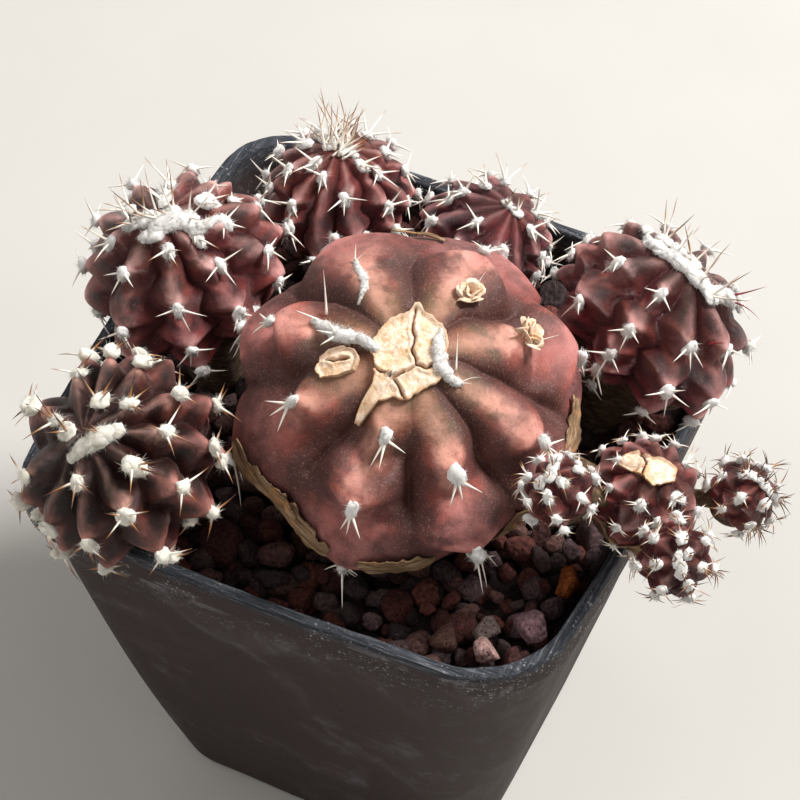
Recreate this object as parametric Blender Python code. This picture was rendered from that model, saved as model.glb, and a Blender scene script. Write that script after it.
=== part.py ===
"""Potted gymnocalycium mihanovichii: a ribbed mother plant with offsets in a square pot."""

import math
import random

import bmesh
import bpy
import numpy as np
from mathutils import Matrix, Vector
from mathutils.bvhtree import BVHTree

MM = 0.001
GAP = 0.3

# Pot, a square nursery pot with bowed sides, in millimetres
POT_HEIGHT = 78.0
RIM_HALF = 45.0
RIM_WIDTH = 2.0
BAND_HEIGHT = 5.6
BAND_STEP = 0.8
BASE_HALF = 29.0
BASE_THICK = 1.6
WALL = 1.2
RIM_CORNERS = (10.0, 9.5, 10.0, 14.0)
BASE_CORNER = 11.0
SIDE_BOW = 2.6
FRONT_BOW = 1.0
WALL_BULGE = 0.8
CORNER_STEPS = 5
SIDE_STEPS = 5
DRAIN_RADIUS = 4.0
DRAIN_SPREAD = 17.5

# Soil, filling the pot to a level below the rim
SOIL_TOP = 70.0
HOLE_DEPTH = 6.0
GRAIN_PITCH = 7.4
GRAIN_RADIUS = 3.7

# Plant heads: centre of the widest ring, lean from upright and the bearing it leans to,
# radius and squash of that ring, heights above and below it, ribs and the first rib's bearing,
# twist of the ribs, furrow depth as a part of the radius, knob height at an areole,
# and the angles from the crown of the areoles on even and on odd ribs
HEADS = {
    "mother": dict(
        centre=(9.4, -10.6, 93.0), lean=17.6, bearing=-64.8, radius=27.0, squash=1.0, squash_bearing=0.0,
        top=18.5, bottom=19.0, ribs=8, first_rib=-4.0, twist=0.0, furrow=0.17, knob=1.3,
        even=(24.0, 57.0, 97.0), odd=(41.0, 87.0), neck=(8.0, -9.0), neck_radius=15.0,
        rib_shifts=(-1.0, -2.0, -2.0, 8.0, 3.0, 1.0, 7.0, 5.5),
    ),
    "offset_front_left": dict(
        centre=(-25.3, -39.0, 92.0), lean=29.5, bearing=-113.4, radius=15.8, squash=1.0, squash_bearing=0.0,
        top=14.5, bottom=11.0, ribs=10, first_rib=-8.0, twist=0.0, furrow=0.2, knob=0.9,
        even=(28.0, 62.0, 98.0), odd=(46.0, 82.0, 112.0), neck=(-22.0, -29.0), neck_radius=5.0,
    ),
    "offset_back_left": dict(
        centre=(-34.2, -0.5, 90.4), lean=14.1, bearing=-143.9, radius=15.8, squash=1.0, squash_bearing=0.0,
        top=15.8, bottom=10.0, ribs=9, first_rib=-60.0, twist=0.0, furrow=0.2, knob=0.9,
        even=(18.0, 50.0, 80.0, 110.0), odd=(34.0, 67.0, 95.0), neck=(-30.0, 0.0), neck_radius=5.0,
    ),
    "offset_back": dict(
        centre=(-21.0, 27.8, 86.0), lean=5.2, bearing=115.2, radius=11.6, squash=1.0, squash_bearing=0.0,
        top=12.0, bottom=10.0, ribs=9, first_rib=-57.0, twist=0.0, furrow=0.2, knob=0.8,
        even=(40.0, 79.0, 108.0), odd=(22.0, 59.0, 94.0), neck=(-19.0, 26.0), neck_radius=4.0,
    ),
    "offset_back_right": dict(
        centre=(3.4, 30.3, 84.4), lean=26.0, bearing=21.0, radius=10.6, squash=1.0, squash_bearing=0.0,
        top=11.0, bottom=9.6, ribs=8, first_rib=-75.0, twist=0.0, furrow=0.2, knob=0.8,
        even=(26.0, 50.0, 80.0, 110.0), odd=(38.0, 64.0, 95.0), neck=(3.0, 27.0), neck_radius=4.0,
    ),
    "offset_right": dict(
        centre=(36.2, 20.8, 90.4), lean=25.7, bearing=38.9, radius=16.4, squash=0.78, squash_bearing=67.0,
        top=15.0, bottom=10.5, ribs=10, first_rib=-50.0, twist=-12.0, furrow=0.2, knob=0.9,
        even=(46.0, 75.0, 98.0), odd=(25.0, 55.0, 85.0, 112.0), neck=(30.0, 17.0), neck_radius=5.0,
    ),
    "offset_front_right": dict(
        centre=(48.2, -9.4, 88.0), lean=20.8, bearing=16.9, radius=8.7, squash=1.0, squash_bearing=0.0,
        top=9.0, bottom=8.2, ribs=8, first_rib=-80.0, twist=0.0, furrow=0.2, knob=0.6,
        even=(42.0, 80.0, 112.0), odd=(28.0, 60.0, 98.0), neck=None, neck_radius=2.5,
    ),
    "pup_upper": dict(
        centre=(39.4, -20.6, 97.4), lean=25.0, bearing=-150.0, radius=5.2, squash=1.0, squash_bearing=0.0,
        top=5.4, bottom=4.6, ribs=7, first_rib=0.0, twist=0.0, furrow=0.2, knob=0.5,
        even=(32.0, 74.0), odd=(52.0, 98.0), neck=None, neck_radius=1.5,
    ),
    "pup_right": dict(
        centre=(62.0, -3.4, 89.0), lean=40.0, bearing=18.4, radius=5.2, squash=1.0, squash_bearing=0.0,
        top=5.6, bottom=4.8, ribs=7, first_rib=0.0, twist=0.0, furrow=0.2, knob=0.5,
        even=(32.0, 74.0), odd=(52.0, 98.0), neck=None, neck_radius=1.5,
    ),
    "pup_lower": dict(
        centre=(58.4, -20.8, 92.0), lean=40.0, bearing=-57.3, radius=5.6, squash=1.0, squash_bearing=0.0,
        top=5.6, bottom=4.8, ribs=7, first_rib=0.0, twist=0.0, furrow=0.2, knob=0.5,
        even=(32.0, 74.0), odd=(52.0, 98.0), neck=None, neck_radius=1.5,
    ),
}

# What grows on the hosted heads' sides hangs on a short root to its host
HOSTS = {
    "offset_front_right": "mother",
    "pup_upper": "offset_front_right",
    "pup_right": "offset_front_right",
    "pup_lower": "offset_front_right",
}

# Rows of wool across each crown: bearing, half length, number of tufts and their radius
CROWN_WOOL = {
    "offset_front_left": (205.0, 2.8, 3, 1.9),
    "offset_back_left": (20.0, 4.6, 5, 2.2),
    "offset_back": (0.0, 1.4, 2, 1.7),
    "offset_back_right": (10.0, 1.2, 2, 1.4),
    "offset_right": (-23.0, 10.0, 8, 1.7),
    "pup_upper": (80.0, 1.6, 3, 1.1),
    "pup_right": (0.0, 1.6, 3, 1.1),
    "pup_lower": (90.0, 1.4, 3, 1.1),
}

# Cork, dried flowers and long wool on the mother: rib, angle from the crown,
# length down the rib, width, height and turn of each lump
MOTHER_LUMPS = (
    (2.1, 5.0, 11.0, 8.6, 1.6, 0.0),
    (6.4, 16.0, 4.0, 3.0, 1.3, 20.0),
    (5.6, 20.0, 9.0, 2.4, 1.0, -30.0),
    (4.8, 22.0, 5.0, 6.0, 1.5, 0.0),
    (0.4, 12.0, 3.2, 7.0, 1.8, 0.0),
    (3.0, 28.0, 11.0, 2.2, 1.6, 0.0),
    (4.0, 22.0, 6.0, 3.2, 2.0, 0.0),
    (1.9, 31.0, 3.2, 3.0, 3.0, 0.0),
    (2.0, 36.0, 5.6, 4.8, 2.4, 30.0),
    (1.0, 44.0, 4.6, 4.6, 2.4, 0.0),
)

TUFT_RADIUS = 1.15
TUFT_LIFT = 0.9
SPINE_RADIUS = 0.32
SPINE_ROOT = 1.0
SPINE_REACH = {"mother": 6.5, "pup_upper": 5.0, "pup_right": 5.5, "pup_lower": 5.5}
SPINE_LENGTH = 7.5
CROWN_SPINE_LENGTH = 10.0

COLOURS = {
    "pot": (0.025, 0.026, 0.030),
    "soil": (0.075, 0.030, 0.024),
    "mother": (0.235, 0.062, 0.047),
}
OFFSET_COLOUR = (0.115, 0.026, 0.028)


# Collections, materials and mesh objects


def clear_scene():
    for obj in list(bpy.data.objects):
        bpy.data.objects.remove(obj, do_unlink=True)


def collection(name):
    group = bpy.data.collections.new(name)
    bpy.context.scene.collection.children.link(group)
    return group


def material(name, colour, roughness):
    finish = bpy.data.materials.new(name)
    finish.use_nodes = True
    shader = finish.node_tree.nodes["Principled BSDF"]
    shader.inputs["Base Color"].default_value = (*colour, 1.0)
    shader.inputs["Roughness"].default_value = roughness
    return finish


def mesh_object(name, bm, group):
    mesh = bpy.data.meshes.new(name)
    bm.to_mesh(mesh)
    bm.free()
    obj = bpy.data.objects.new(name, mesh)
    group.objects.link(obj)
    return obj


def cutter_object(name, bm, group):
    obj = mesh_object(name, bm, group)
    obj.hide_render = True
    obj.display_type = "WIRE"
    return obj


def apply_boolean(obj, group, operation, solver="EXACT"):
    modifier = obj.modifiers.new(operation.title(), "BOOLEAN")
    modifier.operand_type = "COLLECTION"
    modifier.collection = group
    modifier.operation = operation
    modifier.solver = solver
    graph = bpy.context.evaluated_depsgraph_get()
    joined = bpy.data.meshes.new_from_object(obj.evaluated_get(graph))
    obj.modifiers.clear()
    obj.data = joined
    for piece in list(group.objects):
        bpy.data.objects.remove(piece, do_unlink=True)


def ring_loft(rings, closed_ends=True):
    """Join equal rings of points into a closed skin, from the first ring to the last."""
    bm = bmesh.new()
    loops = [[bm.verts.new(point * MM) for point in ring] for ring in rings]
    count = len(loops[0])
    for lower, upper in zip(loops, loops[1:]):
        for i in range(count):
            j = (i + 1) % count
            bm.faces.new((lower[i], lower[j], upper[j], upper[i]))
    if closed_ends:
        bm.faces.new(loops[0])
        bm.faces.new(loops[-1])
    bmesh.ops.recalc_face_normals(bm, faces=bm.faces)
    return bm


# Pot


def pot_ring(half, corners, share, z):
    """Square ring with round corners; its sides bow out by their share of the rim's bow."""
    points = []
    for quarter, corner in enumerate(corners):
        turn = quarter * math.pi / 2
        corner_x = (half - corner) * (1 if quarter in (0, 3) else -1)
        corner_y = (half - corner) * (1 if quarter in (0, 1) else -1)
        for step in range(CORNER_STEPS + 1):
            angle = turn + step / CORNER_STEPS * math.pi / 2
            points.append((corner_x + corner * math.cos(angle), corner_y + corner * math.sin(angle)))
        last_x, last_y = points[-1]
        step_x, step_y = math.cos(turn + math.pi), math.sin(turn + math.pi)
        side = 2 * half - corner - corners[(quarter + 1) % 4]
        for step in range(1, SIDE_STEPS):
            run = side * step / SIDE_STEPS
            points.append((last_x + step_x * run, last_y + step_y * run))
    ring = []
    for x, y in points:
        bow_x = SIDE_BOW * share * (1 - (y / half) ** 2) * (abs(x) / half) ** 4
        bow_y = FRONT_BOW * share * (1 - (x / half) ** 2) * (abs(y) / half) ** 4
        ring.append(Vector((x + math.copysign(bow_x, x), y + math.copysign(bow_y, y), z)))
    return ring


def pot_section(z, inset):
    """The body's ring at a height, moved in from its outside."""
    share = z / POT_HEIGHT
    half = BASE_HALF + (RIM_HALF - BAND_STEP - BASE_HALF) * share
    half += WALL_BULGE * 4 * share * (1 - share)
    corners = [BASE_CORNER + (corner - BASE_CORNER) * share - 0.6 * inset for corner in RIM_CORNERS]
    return pot_ring(half - inset, corners, share ** 2, z)


def rim_section(z, inset):
    return pot_ring(RIM_HALF - inset, [corner - 0.6 * inset for corner in RIM_CORNERS], 1.0, z)


def build_pot(parts, cutters):
    band = POT_HEIGHT - BAND_HEIGHT
    rings = [pot_section(0.0, 0.8), pot_section(0.8, 0.0)]
    rings += [pot_section(z, 0.0) for z in (18.0, 36.0, 54.0, band)]
    rings += [rim_section(band + 0.3, 0.1), rim_section(POT_HEIGHT - 0.5, 0.0)]
    rings += [rim_section(POT_HEIGHT, 0.5), rim_section(POT_HEIGHT, RIM_WIDTH)]
    rings += [pot_section(z, WALL) for z in (SOIL_TOP, 54.0, 36.0, 18.0, BASE_THICK)]
    pot = mesh_object("pot", ring_loft(rings), parts)
    for x in (-DRAIN_SPREAD, DRAIN_SPREAD):
        for y in (-DRAIN_SPREAD, DRAIN_SPREAD):
            bm = bmesh.new()
            place = Matrix.Translation(Vector((x, y, BASE_THICK / 2)) * MM)
            bmesh.ops.create_cone(bm, cap_ends=True, segments=14, radius1=DRAIN_RADIUS * MM,
                                  radius2=DRAIN_RADIUS * MM, depth=6 * MM, matrix=place)
            cutter_object("drain", bm, cutters)
    apply_boolean(pot, cutters, "DIFFERENCE")
    return pot


# Heads


def head_axes(head):
    lean = math.radians(head["lean"])
    bearing = math.radians(head["bearing"])
    k = Vector((math.sin(lean) * math.cos(bearing), math.sin(lean) * math.sin(bearing), math.cos(lean)))
    i = (Vector((1, 0, 0)) - k * k.x).normalized()
    return i, k.cross(i), k


def rib_bearing(head, turn):
    """Bearing of a rib number; a part of a rib lies between two ribs."""
    shifts = head.get("rib_shifts", (0.0,) * head["ribs"])
    lower = math.floor(turn)
    share = turn - lower
    shift = shifts[lower % head["ribs"]] * (1 - share) + shifts[(lower + 1) % head["ribs"]] * share
    return head["first_rib"] + 360.0 * turn / head["ribs"] + shift


def knob_at(head, rib, angle):
    """How far the rib's knobs stand out at an angle from the crown, 0 to 1."""
    marks = head["even"] if rib % 2 == 0 else head["odd"]
    best = 0.0
    for mark in marks:
        reach = 11.0 if angle < mark else 17.0
        best = max(best, 1 - abs(angle - mark) / reach)
    return best ** 1.4


def head_point(head, angle, turn, lift=0.0):
    """Point on a head's skin at an angle from its crown and a number of ribs round its axis."""
    i, j, k = head_axes(head)
    bearing = rib_bearing(head, turn) + head["twist"] * (angle - 60) / 60
    rib = round(turn)
    side = min(2 * abs(turn - rib), 1.0)
    tilt = math.radians(angle)
    spread = head["radius"] * math.sin(tilt)
    opening = min(1.0, max(0.0, (angle - 8) / 30)) * min(1.0, max(0.0, (150 - angle) / 30))
    spread *= 1 - head["furrow"] * opening * side ** 1.3
    spread += head["knob"] * knob_at(head, rib % head["ribs"], angle) * (1 - side) ** 1.2
    height = (head["top"] if angle < 90 else head["bottom"]) * math.cos(tilt)
    swing = math.radians(bearing)
    across = math.radians(bearing - head["squash_bearing"])
    spread *= 1 - (1 - head["squash"]) * math.cos(across) ** 2
    spread += lift * math.sin(tilt)
    flat = (i * math.cos(swing) + j * math.sin(swing)) * spread
    return Vector(head["centre"]) + flat + k * (height + lift * math.cos(tilt))


def skin_frame(head, angle, turn):
    """Point, outward normal and the tangent down the rib."""
    here = head_point(head, angle, turn)
    down = (head_point(head, angle + 4, turn) - head_point(head, angle - 4, turn)).normalized()
    i, j, k = head_axes(head)
    outward = (here - Vector(head["centre"])).normalized()
    side = outward.cross(down).normalized()
    return here, down.cross(side).normalized(), down


def build_body(name, head, parts):
    marks = sorted(set(head["even"] + head["odd"]))
    rows = [marks[0] / 2] + marks + [(marks[-1] + 180) / 2 - 12]
    if name == "mother":
        rows = sorted(rows + [71.0, 110.0, 124.0])
    columns = 4 if name == "mother" else 3 if head["radius"] > 7 else 2
    count = head["ribs"] * columns
    rings = []
    for angle in rows:
        ring = []
        for step in range(count):
            rib, off_ridge = divmod(step, columns)
            marks = head["even"] if rib % 2 == 0 else head["odd"]
            woolly = name != "mother" and off_ridge == 0 and angle in marks
            ring.append(head_point(head, angle, step / columns, lift=TUFT_LIFT if woolly else 0.0))
        rings.append(ring)
    bm = ring_loft(rings, closed_ends=False)
    bm.verts.ensure_lookup_table()
    crown = bm.verts.new(head_point(head, 0, 0) * MM)
    sole = bm.verts.new(head_point(head, 180, 0) * MM)
    total = len(rows) * count
    bm.verts.ensure_lookup_table()
    for step in range(count):
        after = (step + 1) % count
        bm.faces.new((crown, bm.verts[step], bm.verts[after]))
        bm.faces.new((sole, bm.verts[total - count + after], bm.verts[total - count + step]))
    bmesh.ops.recalc_face_normals(bm, faces=bm.faces)
    return mesh_object(name, bm, parts)


def tree_of(obj):
    """A body's faces for nearest-point questions, in world space."""
    bm = bmesh.new()
    bm.from_mesh(obj.data)
    tree = BVHTree.FromBMesh(bm)
    bm.free()
    return tree


def distance_to(tree, point):
    """Distance of a point in millimetres to a body, below zero inside it."""
    near, normal, _, _ = tree.find_nearest(point * MM)
    away = point * MM - near
    return math.copysign(away.length / MM, away.dot(normal))


def add_tube(start, end, radius_start, radius_end, sides, group):
    """A straight rod or a needle between two points, as a piece to fuse."""
    run = end - start
    bm = bmesh.new()
    turn = run.to_track_quat("Z", "Y").to_matrix().to_4x4()
    place = Matrix.Translation((start + end) / 2 * MM) @ turn
    bmesh.ops.create_cone(bm, cap_ends=True, segments=sides, radius1=radius_start * MM,
                          radius2=radius_end * MM, depth=run.length * MM, matrix=place)
    return cutter_object("rod", bm, group)


def add_lump(centre, along, across, outward, sizes, group, sides=5):
    """A rough faceted lump, its half sizes along, across and outward, as a piece to fuse."""
    bm = bmesh.new()
    rings = 2 if sides < 6 else 3
    bmesh.ops.create_uvsphere(bm, u_segments=sides, v_segments=rings, radius=MM)
    turn = Matrix((along, across, outward)).transposed().to_4x4()
    scale = Matrix.Diagonal((*sizes, 1.0))
    bmesh.ops.transform(bm, matrix=Matrix.Translation(centre * MM) @ turn @ scale, verts=bm.verts)
    return cutter_object("lump", bm, group)


def add_neck(name, head, finished, pieces):
    """The root: straight down into the soil, or sideways to the host's skin."""
    centre = Vector(head["centre"])
    if head["neck"] is not None:
        foot = Vector((*head["neck"], SOIL_TOP - HOLE_DEPTH))
        collar = Vector((*head["neck"], SOIL_TOP + 2.5))
        sides = 20 if name == "mother" else 10
        add_tube(foot, collar, head["neck_radius"], head["neck_radius"], sides, pieces)
        start = centre + (collar - centre) * 0.35
        add_tube(start, collar - Vector((0, 0, 0.6)), head["neck_radius"] * 1.2,
                 head["neck_radius"] * 0.96, sides, pieces)
        return
    host = Vector(HEADS[HOSTS[name]]["centre"])
    toward = (host - centre).normalized()
    hit, _, _, _ = finished[HOSTS[name]].ray_cast(centre * MM, toward)
    tip = hit / MM - toward * (GAP + 0.45)
    add_tube(centre, tip, head["neck_radius"] * 1.3, head["neck_radius"] * 0.3, 8, pieces)


def clear_of(name, trees, points, margin):
    """Whether the points keep a margin from every other body."""
    for other, tree in trees.items():
        if other == name:
            continue
        for point in points:
            if distance_to(tree, point) < margin:
                return False
    return True


def segment_gap(a, b, c, d):
    """Least distance between two short rods, from samples along them."""
    first = np.linspace(np.array(a), np.array(b), 9)
    second = np.linspace(np.array(c), np.array(d), 9)
    return np.sqrt(((first[:, None] - second[None]) ** 2).sum(-1)).min()


def place_spine(name, root, direction, outward, length, trees, placed):
    """The first bend and length of a spine that stays clear of everything else."""
    for share in (1.0, 0.8, 0.6):
        for bend in (0.0, 0.35, 0.7):
            heading = (direction.lerp(outward, bend)).normalized()
            tip = root + heading * length * share
            path = [root + heading * length * share * step / 6 for step in range(2, 7)]
            if not clear_of(name, trees, path, GAP + 0.4):
                continue
            if all(owner == name or segment_gap(root, tip, start, end) > 1.1 for owner, start, end in placed):
                placed.append((name, root.copy(), tip.copy()))
                return root - heading * SPINE_ROOT, tip
    return None


def add_areoles(name, head, trees, placed, pieces, draw):
    """Wool tufts on the rib knobs, each with its spines."""
    small = head["radius"] < 7
    for rib in range(head["ribs"]):
        marks = head["even"] if rib % 2 == 0 else head["odd"]
        for order, angle in enumerate(marks):
            here, outward, down = skin_frame(head, angle, rib)
            side = outward.cross(down).normalized()
            size = TUFT_RADIUS * (0.75 if small else 1.0)
            if not clear_of(name, trees, [here, here + outward * size], size + GAP + 0.2):
                continue
            if name == "mother":
                sizes = (size * 1.25, size, size * 0.9)
                add_lump(here + outward * 0.3, down, side, outward, sizes, pieces, sides=5)
            young = angle < 35
            length = CROWN_SPINE_LENGTH if young else SPINE_REACH.get(name, SPINE_LENGTH)
            turns = ((-110, 180, 85)[(2 * order + rib) % 3],)
            if young and not small:
                turns = (20, -130)
            if name == "mother":
                turns = (-105, 100, 180)
            for turn in turns:
                swing = math.radians(turn + draw.uniform(-18, 18))
                rise = math.radians(draw.uniform(52, 68) if young else draw.uniform(28, 48))
                flat = -down * math.cos(swing) + side * math.sin(swing)
                direction = flat * math.cos(rise) + outward * math.sin(rise)
                reach = length * draw.uniform(0.75, 1.1)
                spine = place_spine(name, here + outward * 0.4, direction, outward, reach, trees, placed)
                if spine is not None:
                    add_tube(*spine, SPINE_RADIUS * (0.8 if small else 1.0), 0.0, 3, pieces)


def add_crown_wool(name, head, pieces, trees, placed, draw):
    if name not in CROWN_WOOL:
        return
    bearing, reach, count, size = CROWN_WOOL[name]
    i, j, k = head_axes(head)
    along = i * math.cos(math.radians(bearing)) + j * math.sin(math.radians(bearing))
    across = k.cross(along)
    for step in range(count):
        offset = reach * (2 * step / (count - 1) - 1)
        height = head["top"] * math.sqrt(1 - (offset / head["radius"]) ** 2)
        centre = Vector(head["centre"]) + along * offset + k * (height - 0.2) + across * draw.uniform(-0.3, 0.3)
        outward = (k * 2 + along * offset / head["radius"] * 2).normalized()
        slide = across.cross(outward)
        add_lump(centre, slide, across, outward, (size * 1.15, size * 0.9, size * 0.6), pieces)
        for swing in ((-0.5, 0.6)[step % 2],):
            direction = (outward + across * swing + slide * draw.uniform(-0.3, 0.3)).normalized()
            length = head["radius"] * draw.uniform(0.5, 0.75)
            spine = place_spine(name, centre, direction, outward, length, trees, placed)
            if spine is not None:
                add_tube(*spine, SPINE_RADIUS, 0.0, 3, pieces)


def add_mother_lumps(head, pieces):
    """Cork on the crown, woolly streaks and dried flowers."""
    for rib, angle, length, width, height, turn in MOTHER_LUMPS:
        here, outward, down = skin_frame(head, angle, rib)
        side = outward.cross(down).normalized()
        swing = math.radians(turn)
        along = down * math.cos(swing) + side * math.sin(swing)
        sizes = (length / 2, width / 2, height)
        add_lump(here, along, outward.cross(along), outward, sizes, pieces, sides=7)


# Soil


def build_soil(parts, cutters, pot_tree, draw):
    levels = (BASE_THICK + GAP, 18.0, 36.0, 54.0, SOIL_TOP)
    rings = [pot_section(z, WALL + GAP + 0.05) for z in levels]
    soil = mesh_object("soil", ring_loft(rings), parts)
    half = rings[-1][0].x
    count = int(2 * half / GRAIN_PITCH)
    necks = [(head["neck"], head["neck_radius"]) for head in HEADS.values() if head["neck"]]
    for row in range(count + 1):
        for column in range(count + 1):
            x = -half + (column + 0.5 * (row % 2)) * GRAIN_PITCH + draw.uniform(-1.2, 1.2)
            y = -half + row * GRAIN_PITCH + draw.uniform(-1.2, 1.2)
            size = GRAIN_RADIUS * draw.uniform(0.75, 1.05)
            if max(abs(x), abs(y)) > half or distance_to(pot_tree, Vector((x, y, SOIL_TOP))) < size + GAP:
                continue
            if any(math.hypot(x - nx, y - ny) < radius + 3 for (nx, ny), radius in necks):
                continue
            along = Vector((draw.uniform(-1, 1), draw.uniform(-1, 1), draw.uniform(-0.3, 0.3))).normalized()
            across = Vector((0, 0, 1)).cross(along).normalized()
            sizes = (size, size * draw.uniform(0.7, 0.95), size * draw.uniform(0.6, 0.8))
            add_lump(Vector((x, y, SOIL_TOP + draw.uniform(-0.4, 0.2))), along, across,
                     along.cross(across), sizes, cutters)
    apply_boolean(soil, cutters, "UNION")
    for (x, y), radius in necks:
        foot = Vector((x, y, SOIL_TOP - HOLE_DEPTH - GAP))
        sides = 20 if radius > 8 else 10
        add_tube(foot, foot + Vector((0, 0, 20)), radius + GAP + 0.1, radius + GAP + 0.1, sides, cutters)
    apply_boolean(soil, cutters, "DIFFERENCE")
    return soil


def main():
    clear_scene()
    parts = collection("potted gymnocalycium mihanovichii")
    cutters = collection("cutters")
    pot = build_pot(parts, cutters)
    soil = build_soil(parts, cutters, tree_of(pot), random.Random(5))
    bodies = {name: build_body(name, head, parts) for name, head in HEADS.items()}
    trees = {name: tree_of(body) for name, body in bodies.items()}
    trees["pot"] = tree_of(pot)
    trees["soil"] = tree_of(soil)
    finished = {}
    placed = []
    for number, (name, head) in enumerate(HEADS.items()):
        draw = random.Random(40 + number)
        add_neck(name, head, finished, cutters)
        add_crown_wool(name, head, cutters, trees, placed, draw)
        if name == "mother":
            add_mother_lumps(head, cutters)
        add_areoles(name, head, trees, placed, cutters, draw)
        apply_boolean(bodies[name], cutters, "UNION")
        finished[name] = tree_of(bodies[name])
    pot.data.materials.append(material("black plastic", COLOURS["pot"], 0.5))
    soil.data.materials.append(material("lava grit", COLOURS["soil"], 0.95))
    for name, body in bodies.items():
        colour = COLOURS.get(name, OFFSET_COLOUR)
        body.data.materials.append(material(name + " skin", colour, 0.55))


main()
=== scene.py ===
"""Looks of the potted gymnocalycium mihanovichii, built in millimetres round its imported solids."""

import math
from types import SimpleNamespace

import bmesh
import bpy
import numpy as np
from mathutils import Matrix, Vector

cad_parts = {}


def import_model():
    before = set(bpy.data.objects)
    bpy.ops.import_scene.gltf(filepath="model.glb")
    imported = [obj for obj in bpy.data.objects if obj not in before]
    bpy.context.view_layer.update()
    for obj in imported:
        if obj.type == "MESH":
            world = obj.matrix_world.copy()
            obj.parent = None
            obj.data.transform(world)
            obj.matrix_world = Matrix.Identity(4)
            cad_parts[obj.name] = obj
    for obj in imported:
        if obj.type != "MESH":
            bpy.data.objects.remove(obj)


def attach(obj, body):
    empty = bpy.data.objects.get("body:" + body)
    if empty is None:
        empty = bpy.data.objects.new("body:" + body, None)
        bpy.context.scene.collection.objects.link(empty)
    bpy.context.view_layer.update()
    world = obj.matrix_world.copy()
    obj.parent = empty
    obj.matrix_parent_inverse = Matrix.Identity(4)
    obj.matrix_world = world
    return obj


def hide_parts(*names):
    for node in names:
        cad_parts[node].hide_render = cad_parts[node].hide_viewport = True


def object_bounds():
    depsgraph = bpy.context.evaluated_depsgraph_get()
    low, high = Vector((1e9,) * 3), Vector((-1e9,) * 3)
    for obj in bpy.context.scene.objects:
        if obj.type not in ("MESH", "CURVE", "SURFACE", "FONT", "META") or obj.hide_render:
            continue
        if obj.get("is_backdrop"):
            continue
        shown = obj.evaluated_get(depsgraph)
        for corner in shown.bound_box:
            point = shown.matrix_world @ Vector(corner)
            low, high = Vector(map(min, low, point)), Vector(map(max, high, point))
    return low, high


MM = 0.001

# Camera, solved from the pot's rim and the heads in the photograph
CAMERA_YAW = math.radians(25.16)
CAMERA_RISE = math.radians(50.62)
CAMERA_AIM = Vector((0, 0, 0.078))
CAMERA_DISTANCE = 0.64022
CAMERA_SLIDE = 0.0027
CAMERA_DROP = 0.00086

# Pot
POT_HEIGHT = 78.0
RIM_HALF = 45.0
RIM_WIDTH = 2.0
BAND_HEIGHT = 5.6
BAND_STEP = 0.8
BASE_HALF = 29.0
BASE_THICK = 1.6
WALL = 1.2
RIM_CORNERS = (10.0, 9.5, 10.0, 14.0)
BASE_CORNER = 11.0
SIDE_BOW = 2.6
FRONT_BOW = 1.0
WALL_BULGE = 0.8
CORNER_STEPS = 20
SIDE_STEPS = 60
DRAIN_RADIUS = 4.0
DRAIN_SPREAD = 17.5

# Soil
SOIL_TOP = 70.0
GRAIN_PITCH = 4.3
COARSE_PITCH = 4.4
SOIL_HALF = 42.6
SOIL_CORNER = 10.0


def rib_rows(*rows):
    """Ribs as a bearing and areoles: an angle from the crown, or that and a step beside the rib."""
    return [(row[0], [mark if isinstance(mark, tuple) else (mark, 0) for mark in row[1:]]) for row in rows]


def pup_ribs(*bearings, first=(32, 70, 98), second=(50, 84)):
    """A pup's seven ribs, with areoles that alternate from rib to rib."""
    marks = (first, second, (30, 66, 98), (50, 84), (32, 68, 98), (50, 84), (34, 72, 100))
    return rib_rows(*((bearing, *angles) for bearing, angles in zip(bearings, marks)))


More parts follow.
